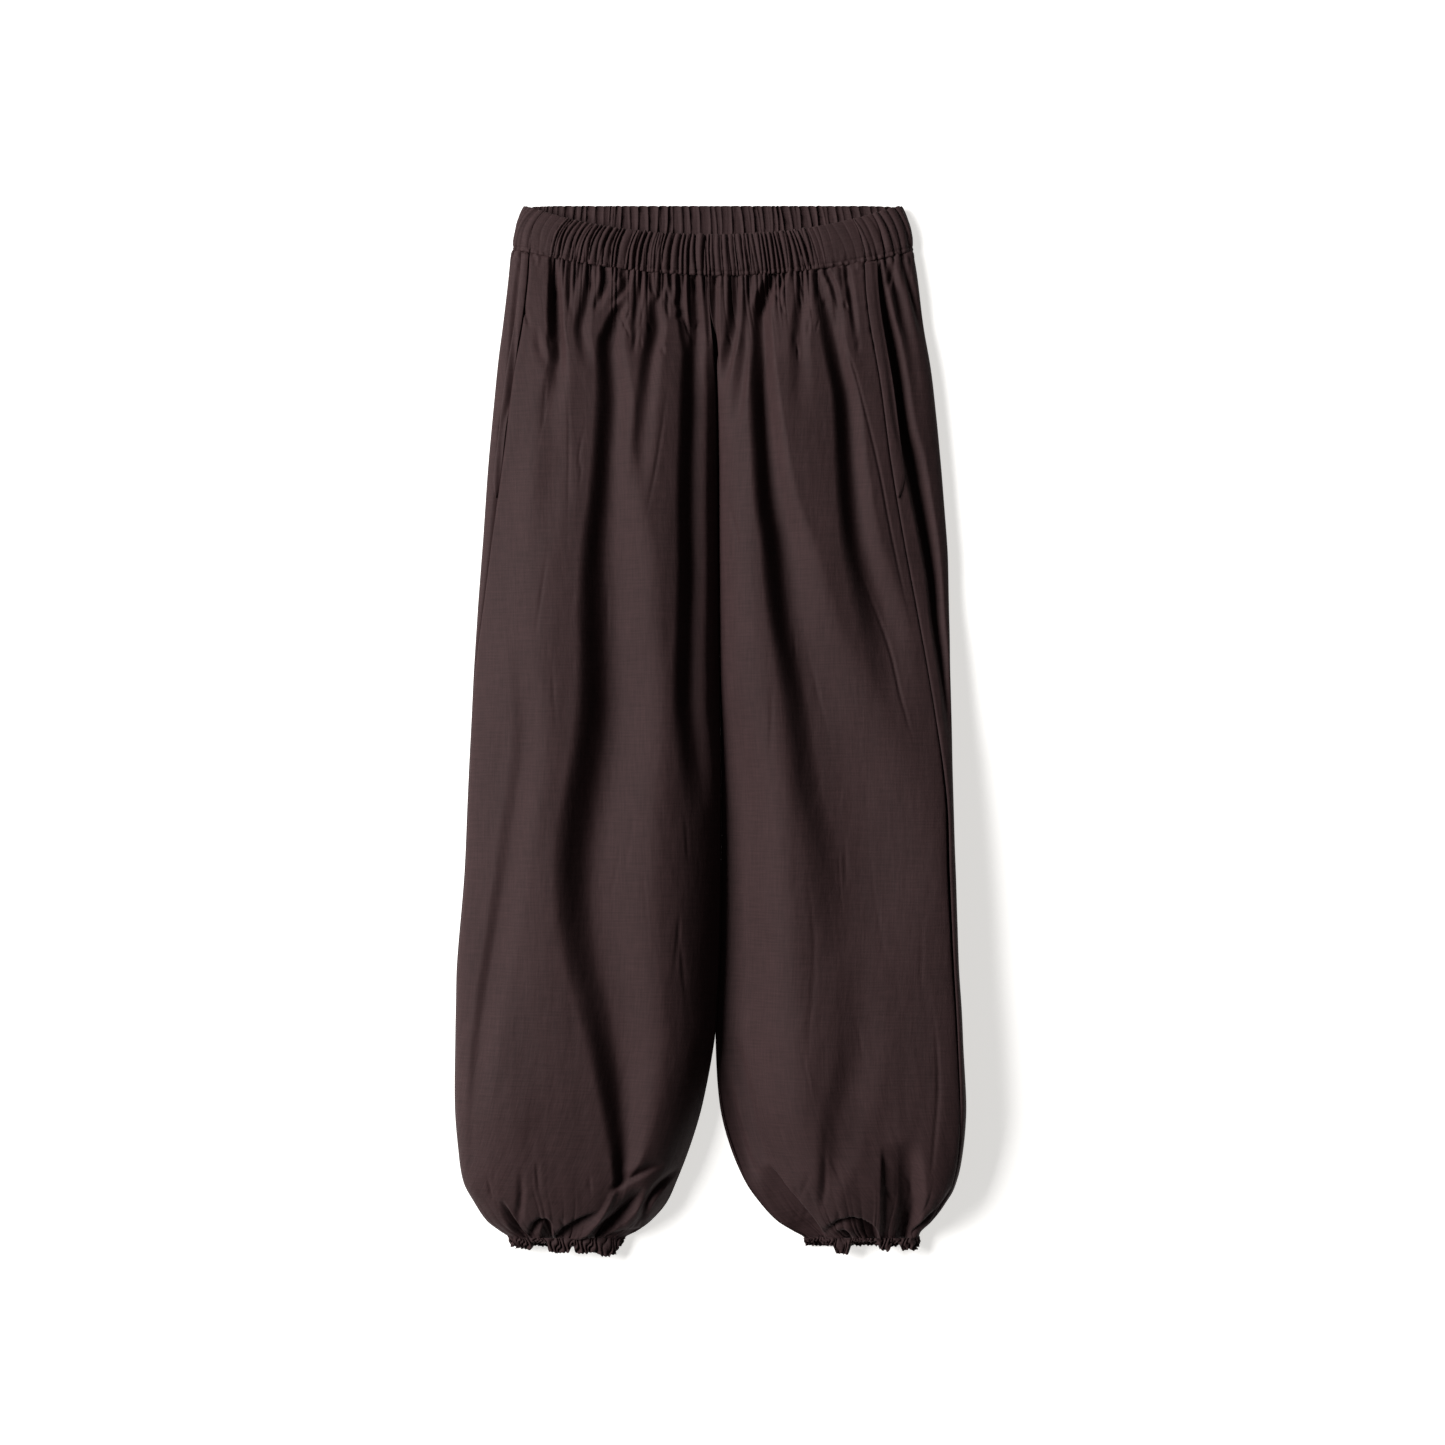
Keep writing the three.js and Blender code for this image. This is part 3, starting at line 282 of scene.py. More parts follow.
def curve_through(ys, values, at):
    """A smooth curve through values at rising ys; past either end it keeps the end value."""
    at = np.clip(at, ys[0], ys[-1])
    i = np.clip(np.searchsorted(ys, at) - 1, 0, len(ys) - 2)
    low = np.maximum(np.arange(len(ys)) - 1, 0)
    high = np.minimum(np.arange(len(ys)) + 1, len(ys) - 1)
    slope = (values[high] - values[low]) / (ys[high] - ys[low])
    span = ys[i + 1] - ys[i]
    t = (at - ys[i]) / span
    rise = t * t * (3 - 2 * t)
    entry = t * (1 - t) ** 2 * span * slope[i]
    leave = t * t * (t - 1) * span * slope[i + 1]
    return lerp(values[i], values[i + 1], rise) + entry + leave


class Table:
    """Rows of named values by y, read at any y along a smooth curve."""

    def __init__(self, columns, rows):
        order = sorted(rows)
        self.ys = np.array(order, float)
        self.values = {name: np.array([rows[y][k] for y in order], float) for k, name in enumerate(columns)}

    def at(self, name, y):
        return curve_through(self.ys, self.values[name], np.asarray(y, float))


FOLD_ENDS = (2, 14)  # how far a fold is followed below its lowest row and above its highest


def cosine_bell(off):
    """1 in the middle of a slope, 0 at its end."""
    return 0.5 + 0.5 * np.cos(np.pi * off)


class Folds:
    """A set of folds in plan, whose depths add up."""

    def __init__(self, *tables):
        self.lines = []
        for table in tables:
            for rows in table.values():
                columns = np.array(sorted(rows), float).T
                self.lines.append(dict(zip(FOLD_COLUMNS, columns)))

    def depth(self, x, y):
        total = np.zeros_like(x)
        for fold in self.lines:
            ys = fold["y"]
            near = (y > ys[0] - FOLD_ENDS[0]) & (y < ys[-1] + FOLD_ENDS[1])
            if not near.any():
                continue
            row = {name: curve_through(ys, fold[name], y[near]) for name in FOLD_COLUMNS[1:]}
            off = x[near] - row["x"] - row["west"] / 2
            reach = np.where(off < 0, row["west"], row["east"])
            total[near] += row["depth"] * cosine_bell(np.clip(np.abs(off / reach), 0, 1))
        return total


CREASE_STEPS = 8  # straight lengths between two rows of a crease
CREASE_FALL, CREASE_SWELL = 1.5, 0.6  # how a crease's slope falls off, and how full it is on the way


class Creases:
    """Creases along free lines in plan."""

    def __init__(self, table):
        self.lines = []
        for rows in table.values():
            columns = np.array(rows, float).T
            last = len(rows) - 1
            at = np.arange(last + 1, dtype=float)
            fine = np.linspace(0, last, last * CREASE_STEPS + 1)
            line = {name: curve_through(at, values, fine) for name, values in zip(CREASE_COLUMNS, columns)}
            self.lines.append(line)

    def depth(self, x, y):
        total = np.zeros_like(x)
        for line in self.lines:
            plan = np.stack([line["x"], line["y"]], axis=-1)
            reach = max(line["left"].max(), line["right"].max()) + 1
            low, high = plan.min(axis=0) - reach, plan.max(axis=0) + reach
            near = (x > low[0]) & (x < high[0]) & (y > low[1]) & (y < high[1])
            if not near.any():
                continue
            spots = np.stack([x[near], y[near]], axis=-1)[:, None, :]
            start, step = plan[:-1], np.diff(plan, axis=0)
            along = ((spots - start) * step).sum(axis=-1) / (step**2).sum(axis=-1)
            along = np.clip(along, 0, 1)
            away = spots - start - step * along[..., None]
            gap = np.linalg.norm(away, axis=-1)
            k = gap.argmin(axis=1)
            pick = np.arange(len(k))
            t = along[pick, k]
            row = {name: lerp(line[name][k], line[name][k + 1], t) for name in CREASE_COLUMNS[2:]}
            off_line = away[pick, k]
            leftward = step[k, 0] * off_line[:, 1] - step[k, 1] * off_line[:, 0] > 0
            off = np.clip(gap[pick, k] / np.where(leftward, row["left"], row["right"]), 0, 1)
            total[near] += row["depth"] * (1 - off) ** CREASE_FALL * (1 + CREASE_SWELL * off)
        return total


SEED = 11
rng = np.random.default_rng(SEED)

# Small creases scattered over stretches of a front: how many, the ranges of x (away from the middle) and y,
# and the ranges of their length and depth. The lean is in radians.
PATCH_COLUMNS = ("count", "across", "along", "length", "depth", "lean")
SMALL_CREASES = (
    (34, (4, 165), (335, 408), (8, 30), (0.8, 2.4), 0.35),
    (12, (60, 200), (-445, -385), (10, 36), (0.4, 1.4), 0.7),
    (12, (20, 190), (-360, 320), (30, 90), (0.3, 0.8), 0.25),
)
SMALL_REACH = (1.4, 5)


def small_creases(hand):
    """Rows of scattered creases, each straight with its own size, for the leg on the given side."""
    rows = []
    for values in SMALL_CREASES:
        patch = dict(zip(PATCH_COLUMNS, values))
        for _ in range(patch["count"]):
            x = hand * rng.uniform(*patch["across"])
            y = rng.uniform(*patch["along"])
            half = rng.uniform(*patch["length"]) / 2
            lean = rng.uniform(-1, 1) * patch["lean"]
            dx, dy = half * math.sin(lean), half * math.cos(lean)
            left, right = rng.uniform(*SMALL_REACH, 2)
            ends = [(x + k * dx, y + k * dy, 0, left, right) for k in (-1, 1)]
            rows.append((ends[0], (x, y, rng.uniform(*patch["depth"]), left, right), ends[1]))
    return dict(enumerate(rows))


def edge_dip(edge, x):
    sag = dict(zip(SAG_COLUMNS, SAGS[edge]))
    off = np.minimum(1, np.abs(x - sag["middle"]) / sag["half"])
    return sag["depth"] * (1 - off ** sag["power"])


def dip(x, y):
    """Sag of the front waist seam and top edge below the back ones, dying out down the leg."""
    seam = edge_dip("seam", x)
    band = lerp(seam, edge_dip("top", x), np.clip((y - WAIST_SEAM_Y) / BAND_HEIGHT, 0, 1))
    return np.where(y >= WAIST_SEAM_Y, band, seam * smooth(1 - (WAIST_SEAM_Y - y) / DIP_FADE))


def foot_height(inwards, rise):
    """Height of the rounded lower edge at a distance in from the outline; beyond it the cloth lies flat."""
    reach = FOOT_ASPECT * rise + 0.01
    return rise * (1 - np.sqrt(1 - np.clip(1 - inwards / reach, 0, 1) ** 2))


class Leg:
    """A flattened ring at every y: over the top from the inner edge to the outer one, then back under."""

    def __init__(self, hand, stations, shoulders, folds, tucks, side_folds, creases):
        self.hand = hand
        self.inner_power, self.inner_fall = shoulders["inner"]
        self.outer_power = shoulders["outer"]
        self.table = Table(STATION_COLUMNS, stations)
        self.folds = Folds(folds, tucks)
        self.side_folds = Folds(side_folds)
        self.creases = Creases({**creases, **small_creases(hand)})

    def shoulders(self, off, ys, softness, full):
        """Shares of the crown's height towards each edge; off is 0 at the crown and 1 at an edge."""
        lower = smooth((LOWER_FROM - ys[:, None]) / LOWER_OVER)
        bell = cosine_bell(off)
        round_in = np.clip(1 - off**self.inner_power, 0, 1) ** lerp(*self.inner_fall, lower)
        round_out = np.sqrt(np.clip(1 - off ** lerp(*self.outer_power, lower), 0, 1))
        return lerp(round_in, bell, softness), lerp(bell, round_out, full)

    def sections(self, ys):
        """Points of the ring at each y, with the distance along it and the share of the waist's sag."""
        row = {name: self.table.at(name, ys)[:, None] for name in STATION_COLUMNS}
        under = np.minimum(row["under"], row["valley"])
        turn = np.linspace(0, np.pi, SECTION_STEPS + 1)[None, :]
        across = (1 - np.cos(turn)) / 2 + 0 * row["outer"]
        crest = row["crest"]
        inward = across < crest
        off = np.where(inward, 1 - across / crest, (across - crest) / (1 - crest))
        softness = smooth((ys[:, None] - SOFT_FROM) / SOFT_OVER)
        shape_in, shape_out = self.shoulders(off, ys, softness, row["full"])
        top = np.where(
            inward,
            lerp(row["valley"], row["height"], shape_in),
            lerp(row["side"], row["height"], shape_out),
        )
        top_x = lerp(row["inner"], row["outer"], across)
        width = np.abs(row["outer"] - row["inner"])
        back = across[:, ::-1][:, 1:]
        low = foot_height(width * (1 - back), row["side"]) + foot_height(width * back, under)
        x = np.concatenate([top_x, lerp(row["inner"], row["outer"], back)], axis=1)
        z = np.concatenate([top, low], axis=1)
        sag = np.where(inward, 1, 1 - off**SAG_POWER) + 0 * top
        sag = np.concatenate([sag, 0 * low], axis=1)
        steps = np.hypot(np.diff(x, axis=1), np.diff(z, axis=1))
        run = np.concatenate([np.zeros((len(ys), 1)), np.cumsum(steps, axis=1)], axis=1)
        outer_half = slice(SECTION_STEPS // 2, SECTION_STEPS + 1)
        seam = np.array([
            np.interp(self.hand * s, self.hand * xs, runs)
            for s, xs, runs in zip(row["seam"][:, 0], x[:, outer_half], run[:, outer_half])
        ])
        return {
            "x": x, "z": z, "sag": sag, "run": run,
            "seam": seam, "edge": run[:, SECTION_STEPS], "end": run[:, -1],
            "upright_front": 1 - softness[:, 0], "upright_back": smooth(under[:, 0] / 2),
        }

    def points(self, ys, runs):
        """Points at distances runs, rows by columns, along the rings at ys."""
        s = self.sections(ys)
        out = []
        for key in ("x", "z", "sag"):
            out.append(np.array([np.interp(r, a, b) for r, a, b in zip(runs, s["run"], s[key])]))
        x, z, sag = out
        y = ys[:, None] - dip(x, ys[:, None] + 0 * x) * sag
        return np.stack([x, y, z], axis=-1)

    def normals(self, ys, runs):
        s = self.sections(ys)
        along = self.points(ys + NORMAL_STEP, runs) - self.points(ys - NORMAL_STEP, runs)
        across = self.points(ys, runs + NORMAL_STEP) - self.points(ys, runs - NORMAL_STEP)
        across /= np.linalg.norm(across, axis=-1, keepdims=True)
        up = np.array([0, 0, 1.0])
        from_start = smooth(1 - runs / (2 * NORMAL_STEP)) * s["upright_front"][:, None]
        from_end = smooth(1 - (s["end"][:, None] - runs) / (2 * NORMAL_STEP)) * s["upright_back"][:, None]
        across = lerp(across, up, np.maximum(from_start, from_end)[..., None])
        normal = np.cross(across, along) * self.hand
        normal /= np.linalg.norm(normal, axis=-1, keepdims=True)
        normal[..., 1] *= np.clip((ys[:, None] - HEM_SEAM_Y) / CUFF_EASE, 0, 1)
        return normal / np.linalg.norm(normal, axis=-1, keepdims=True)


# The shoulders of the legs. inner: power, then the fall above and below; outer: power above and below
RIGHT_SHOULDERS = {"inner": (5.5, (1, 1)), "outer": (2.7, 2.7)}
LEFT_SHOULDERS = {"inner": (2.3, (0.85, 2.3)), "outer": (3, 12)}
RIGHT = Leg(-1, RIGHT_STATIONS, RIGHT_SHOULDERS, RIGHT_FOLDS, RIGHT_TUCKS, RIGHT_SIDE_FOLDS, RIGHT_CREASES)
LEFT = Leg(1, LEFT_STATIONS, LEFT_SHOULDERS, LEFT_FOLDS, LEFT_TUCKS, LEFT_SIDE_FOLDS, LEFT_CREASES)


def grid_mesh(name, outer, inner, uv, material):
    """A closed thin shell between two grids of points in millimetres."""
    rows, columns = outer.shape[:2]
    count = rows * columns
    ids = np.arange(count).reshape(rows, columns)
    a, b, c, d = ids[:-1, :-1], ids[1:, :-1], ids[1:, 1:], ids[:-1, 1:]
    front = np.stack([a, b, c, d], axis=-1).reshape(-1, 4)
    rim = np.concatenate([ids[:, 0], ids[-1, 1:], ids[-2::-1, -1], ids[0, -2:0:-1]])
    rim_next = np.roll(rim, -1)
    side = np.stack([rim_next, rim, rim + count, rim_next + count], axis=-1)
    faces = np.concatenate([front, front[:, ::-1] + count, side])
    corners = outer.reshape(-1, 3)
    diagonals = [corners[front[:, k + 2]] - corners[front[:, k]] for k in (0, 1)]
    outwards = corners[front].mean(axis=1) - inner.reshape(-1, 3)[front].mean(axis=1)
    if (np.cross(*diagonals) * outwards).sum() < 0:
        faces = faces[:, ::-1]
    points = np.concatenate([corners, inner.reshape(-1, 3)]) * MM
    mesh = bpy.data.meshes.new(name)
    mesh.from_pydata(points.tolist(), [], faces.tolist())
    mesh.polygons.foreach_set("use_smooth", np.ones(len(faces), bool))
    layer = mesh.uv_layers.new(name="cloth")
    flat_uv = np.concatenate([uv.reshape(-1, 2), uv.reshape(-1, 2)]) * MM
    layer.data.foreach_set("uv", flat_uv[faces.reshape(-1)].astype(np.float32).reshape(-1))
    mesh.materials.append(material)
    mesh.update()
    piece = bpy.data.objects.new(name, mesh)
    bpy.context.collection.objects.link(piece)
    return piece


def register(piece):
    """Ties a piece to the root body, and hides the solid of its name."""
    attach(piece, "root")
    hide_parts(piece.name.replace("_cloth", ""))


def stations(*spans):
    """Row places from spans of (from, to, number of rows)."""
    rows = [np.linspace(start, stop, count, endpoint=False) for start, stop, count in spans]
    return np.concatenate(rows + [np.array([float(spans[-1][1])])])


# A gather is a rounded crown that leans to one side, between two narrow troughs
CROWN_LEAN, CROWN_POWER = 0.85, 0.55
CROWN_RISE, TROUGH_DEPTH = 2.1, 1.5


def uneven_steps(length, count, spread):
    """Places of count gathers along a length, unevenly spaced."""
    widths = 1 + spread * rng.uniform(-1, 1, count)
    places = np.concatenate([[0], np.cumsum(widths)])
    return places / places[-1] * length


def gather_wave(at, places, heights):
    """Height of a gathered strip across, and the number of the gather at each place."""
    i = np.clip(np.searchsorted(places, at) - 1, 0, len(places) - 2)
    inside = (at >= places[0]) & (at <= places[-1])
    t = np.clip((at - places[i]) / (places[i + 1] - places[i]), 0, 1)
    crown = np.sin(np.pi * t**CROWN_LEAN) ** CROWN_POWER * CROWN_RISE - TROUGH_DEPTH
    return np.where(inside, crown * heights[i], 0), i


def leaning_gathers(at, up, places, heights, lean):
    """Gathers whose troughs each lean their own way up a strip; up runs from 0 to 1."""
    lean = np.concatenate([[0], lean, [0]])
    rows = []
    for row, u in zip(at, up):
        leaning = np.sort(places + lean * (u - 0.5))
        rows.append(gather_wave(row, leaning, heights)[0])
    return np.array(rows)


# Rows and columns of the shells: a back has a strip on top, its rounded side, its flat and the rise inside
PANEL_ROWS = stations((WAIST_SEAM_Y, 405, 22), (405, 340, 36), (340, -380, 146), (-380, HEM_SEAM_Y, 44))
BAND_ROWS = stations(
    (WAIST_SEAM_Y - 1.5, WAIST_SEAM_Y + 4, 6),
    (WAIST_SEAM_Y + 4, WAIST_SEAM_Y + 37, 10),
    (WAIST_SEAM_Y + 37, WAIST_SEAM_Y + BAND_HEIGHT, 5),
)
CUFF_ROWS = stations(
    (HEM_SEAM_Y + 1, HEM_SEAM_Y - CASING_HEIGHT, 10),
    (HEM_SEAM_Y - CASING_HEIGHT, HEM_SEAM_Y - CASING_HEIGHT - FRILL_DROP, 6),
)
FRONT_COLUMNS, CUFF_COLUMNS, POCKET_COLUMNS = 196, 300, 16
BAND_COLUMNS = {"front": 620, "back": 700}
BACK_STRIP, BACK_ROUND, BACK_FLAT, BACK_RISE = 46, 20, 44, 14
LEAST_STRIP, LEAST_ROUND, RISE_WIDTH = 16, 8, 20  # widths along the ring
ROUND_ASPECT = 1.9  # length of the rounded side for its height

# Gathers of the waistband: how many, how unevenly spaced, the flat stretches at the ends of the front half,
# and the ranges of their height and of the length over which they die out down a panel
GATHER_COLUMNS = ("count", "spread", "flat", "height", "fade")
BAND_GATHERS = {
    "front": (52, 0.75, (20, 42), (0.35, 1.6), (6, 38)),
    "back": (56, 0.4, (0, 0), (0.25, 1.0), (8, 30)),
}
BAND_WAVE = 1.8  # height of an average gather of the waistband
BAND_FULLNESS, CUFF_FULLNESS = 1.7, 2.2  # length of cloth in the weave for the length of the gathered strip


def seam_lengths(ys, half):
    """Widths of the front or back panels along their rings at each y, the right one first."""
    lengths = []
    for leg in (RIGHT, LEFT):
        s = leg.sections(ys)
        lengths.append(s["seam"] if half == "front" else s["end"] - s["seam"])
    return lengths


def waist_gathers(half):
    """The waist seam's half, measured from its right end, with the gathers that the elastic draws up."""
    row = dict(zip(GATHER_COLUMNS, BAND_GATHERS[half]))
    right, left = (float(part[0]) for part in seam_lengths(np.array([float(WAIST_SEAM_Y)]), half))
    length = right + left
    places = row["flat"][0] + uneven_steps(length - sum(row["flat"]), row["count"], row["spread"])
    heights = BAND_WAVE * rng.uniform(*row["height"], row["count"])
    fades = rng.uniform(*row["fade"], row["count"])
    return {"length": length, "middle": right, "places": places, "heights": heights, "fades": fades}


WAIST = {half: waist_gathers(half) for half in ("front", "back")}

# Smaller gathers of the waistband between the others, and the share of their height in its flat stretches
FINE_GATHERS, FINE_SPREAD, FINE_HEIGHTS = 50, 0.8, (0, 1.12)
FINE_FLAT = 0.4
BAND_LEAN = 5  # how far a gather of the band may lean over the band's height
FAN_LEAN, FAN_REACH = 4.5, 2.6  # the front's gathers lean outwards, more towards the band's ends
BACK_FAN = -0.6  # lean of the back's gathers for the front's
QUIET_SHARE, QUIET_FROM, QUIET_OVER = 0.55, 10, 70  # the gathers are lower at the right end

# The waistband's form: its arch over the elastic, the sunken row of stitches and the turn in at the seam
BAND_ARCH, EDGE_WAVE = 1.1, 0.75  # and the share of the gathers' height at its two edges
STITCH_DEPTH, STITCH_UP, STITCH_REACH = 0.7, 2.2, 1.2
BAND_TURN, BAND_TURN_REACH = 0.8, 1.5
BAND_REST = 1.4  # how far the cloth on the floor keeps inside the ring
TOP_WAVE, TOP_DROP, TOP_SHARE = 0.4, 1.2, 0.2  # the gathers show in the top fifth's edge
CORNER_DROP, CORNER_MIDDLE, CORNER_FROM, CORNER_OVER = 0.9, 2, 138, 28

# Small puckers beside the waist seam, and how the gathers die out away from a seam
PUCKER_HEIGHT, PUCKER_CELL, PUCKER_FADE = 1.3, (2.8, 5), 7
PANEL_SHARE = 1.15  # height of a gather in the panel for its height in the band
FADE_POWER = 1.3

# Gathers that run up from each half of a cuff
HEM_GATHERS, HEM_SPREAD, HEM_WAVE = 26, 0.8, 0.7
HEM_HEIGHTS, HEM_FADES = (0, 1.9), (6, 42)
EDGE_EASE, SEAM_EASE = 30, 10  # how near the inner edge and the side seam the cloth grows even
FLOOR_TURN = 1.5  # how soon a back that turns down keeps within the ring

# The cloth's slight unevenness: height, grid cell and shear of each layer
RUMPLES = (
    (0.6, (26, 70), 0.25),
    (0.6, (22, 60), -0.3),
    (0.16, (7, 26), 0.1),
)
RUMPLE_SHARE = 0.5  # how much of it shows in the middle of a leg
RUMPLE_ENDS = ((0.9, -200, -400), (0.3, 150, 350))  # how much more, from a y to a y

# How a panel's edge turns in at a seam: depth and reach
SIDE_ROLL, WAIST_ROLL = (1.0, 2.4), (1.4, 4)


def seam_roll(distance, roll):
    """How far the cloth sinks at a distance from a seam."""
    depth, reach = roll
    return depth * np.clip(1 - distance / reach, 0, 1) ** 2


def relief(normals, points, *folds):
    """How far the folds stand out from the ring, below it where they are troughs."""
    facing = smooth((normals[..., 2] - FACING_FROM) / FACING_OVER)
    return -sum(f.depth(points[..., 0], points[..., 1]) for f in folds) * facing


def soft_noise(x, y, cell):
    """Gentle hills and hollows between -1 and 1 on a grid of random heights with the given cell."""
    u, v = x / cell[0] + NOISE_ORIGIN, y / cell[1] + NOISE_ORIGIN
    i, j = np.floor(u).astype(int), np.floor(v).astype(int)
    grid = rng.uniform(-1, 1, (i.max() + 2, j.max() + 2))
    s, t = smooth(u - i), smooth(v - j)
    return lerp(lerp(grid[i, j], grid[i + 1, j], s), lerp(grid[i, j + 1], grid[i + 1, j + 1], s), t)


def seam_puckers(at, ys):
    """Small puckers on either side of the waist seam."""
    away = np.abs(ys[:, None] - WAIST_SEAM_Y)
    noise = soft_noise(at, ys[:, None] + 0 * at, PUCKER_CELL)
    return PUCKER_HEIGHT * noise * np.exp(-away / PUCKER_FADE)


def panel_gathers(leg, ys, share, half):
    """Gathers that run down from the waist seam and die out, at shares of the panel's width."""
    waist = WAIST[half]
    right, left = waist["middle"], waist["length"] - waist["middle"]
    if half == "front":
        at = right - share * right if leg is RIGHT else right + share * left
    else:
        at = share * right if leg is RIGHT else waist["length"] - share * left
    wave, i = gather_wave(at, waist["places"], waist["heights"])
    below = WAIST_SEAM_Y - ys[:, None]
    fading = np.exp(-((below / waist["fades"][i]) ** FADE_POWER))
    return PANEL_SHARE * wave * fading + seam_puckers(at, ys)


def hem_gathers(ys, share):
    """Small gathers that run up from the cuff and die out, each over its own length."""
    places = uneven_steps(1, HEM_GATHERS, HEM_SPREAD)
    heights = HEM_WAVE * rng.uniform(*HEM_HEIGHTS, HEM_GATHERS)
    fades = rng.uniform(*HEM_FADES, HEM_GATHERS)
    wave, i = gather_wave(share, places, heights)
    above = ys[:, None] - HEM_SEAM_Y
    return wave * np.exp(-((above / fades[i]) ** FADE_POWER))


def rumple(points):
    """The cloth's slight unevenness, stronger towards the cuffs and the waist."""
    x, y = points[..., 0], points[..., 1]
    strength = RUMPLE_SHARE
    for more, start, stop in RUMPLE_ENDS:
        strength = strength + more * smooth((y - start) / (stop - start))
    total = np.zeros_like(x)
    for height, cell, shear in RUMPLES:
        total += height * soft_noise(x + shear * y, y, cell)
    return strength * total


def shell(name, outer, normals, thickness, along, ys, material):
    """A cloth shell; its weave follows the distance along each row, and y."""
    uv = np.stack([along + 0 * ys[:, None], ys[:, None] + 0 * along], axis=-1)
    return grid_mesh(name, outer, outer - normals * thickness, uv, material)


def front_panel(leg, name, material):
    ys = PANEL_ROWS
    seam = leg.sections(ys)["seam"][:, None]
    share = np.linspace(0, 1, FRONT_COLUMNS)[None, :]
    runs = share * seam
    points = leg.points(ys, runs)
    normals = leg.normals(ys, runs)
    stand = relief(normals, points, leg.folds, leg.creases) + panel_gathers(leg, ys, share, "front")
    away_from_seams = smooth(runs / EDGE_EASE) * smooth((seam - runs) / SEAM_EASE)
    stand += (hem_gathers(ys, share) + rumple(points)) * away_from_seams
    stand -= seam_roll(seam - runs, SIDE_ROLL) + seam_roll(runs, SIDE_ROLL)
    stand -= seam_roll(WAIST_SEAM_Y - ys[:, None], WAIST_ROLL)
    piece = shell(name, points + normals * stand[..., None], normals, CLOTH, runs, ys, material)
    register(piece)


def back_runs(leg, ys, s):
    """Places of a back's columns along the ring at each y."""
    seam, edge, end = (s[k][:, None] for k in ("seam", "edge", "end"))
    strip = np.maximum(edge, seam + LEAST_STRIP)
    low = np.maximum(edge + ROUND_ASPECT * leg.table.at("side", ys)[:, None], strip + LEAST_ROUND)
    rise = end - RISE_WIDTH
    parts = (
        (seam, strip, BACK_STRIP),
        (strip, low, BACK_ROUND),
        (low, rise, BACK_FLAT),
        (rise, end, BACK_RISE),
    )
    runs = [a + (b - a) * np.linspace(0, 1, n, endpoint=False)[None, :] for a, b, n in parts]
    return np.concatenate(runs + [end], axis=1)


def back_panel(leg, name, material):
    ys = PANEL_ROWS
    s = leg.sections(ys)
    seam, end = s["seam"][:, None], s["end"][:, None]
    runs = back_runs(leg, ys, s)
    share = (runs - seam) / (end - seam)
    points = leg.points(ys, runs)
    normals = leg.normals(ys, runs)
    stand = relief(normals, points, leg.side_folds, leg.creases)
    gathers = panel_gathers(leg, ys, share, "back")
    on_floor = smooth(-normals[..., 2] * FLOOR_TURN)
    away_from_seams = smooth((runs - seam) / SEAM_EASE) * smooth((end - runs) / EDGE_EASE)
    gathers += (hem_gathers(ys, share) + rumple(points)) * away_from_seams
    stand += gathers - on_floor * np.maximum(gathers, 0)
    stand -= seam_roll(runs - seam, SIDE_ROLL)
    stand -= seam_roll(WAIST_SEAM_Y - ys[:, None], WAIST_ROLL)
    outer = points + normals * stand[..., None]
    outer[..., 2] = np.maximum(outer[..., 2], 0)
    piece = shell(name, outer, normals, CLOTH, runs, ys, material)
    register(piece)


def band_surface(ys, share, half):
    """Points and normals of half a waistband, across both legs from the wearer's right to left."""
    right, left = (part[:, None] for part in seam_lengths(ys, half))
    from_middle = share * (right + left) - right
    points = np.zeros((*from_middle.shape, 3))
    normals = np.zeros_like(points)
    for leg, mask in ((RIGHT, from_middle < 0), (LEFT, from_middle >= 0)):
        end = leg.sections(ys)["end"][:, None]
        runs = np.abs(from_middle) if half == "front" else end - np.abs(from_middle)
        points[mask] = leg.points(ys, runs)[mask]
        normals[mask] = leg.normals(ys, runs)[mask]
    return points, normals


def band_gathers(at, up, half):
    """The band's gathers, each leaning its own way, with the fine ones between them."""
    waist = WAIST[half]
    places = waist["places"]
    heights = waist["heights"] * lerp(QUIET_SHARE, 1, smooth((places[:-1] - QUIET_FROM) / QUIET_OVER))
    lean = rng.uniform(-BAND_LEAN / 2, BAND_LEAN / 2, len(places) - 2)
    wave = leaning_gathers(at, up, places, heights, lean)
    fine = uneven_steps(waist["length"], FINE_GATHERS, FINE_SPREAD)
    fine_lean = rng.uniform(-BAND_LEAN, BAND_LEAN, FINE_GATHERS - 1)
    fine_heights = rng.uniform(*FINE_HEIGHTS, FINE_GATHERS)
    gathered = (at > places[0]) & (at < places[-1])
    return wave + leaning_gathers(at, up, fine, fine_heights, fine_lean) * np.where(gathered, 1, FINE_FLAT)


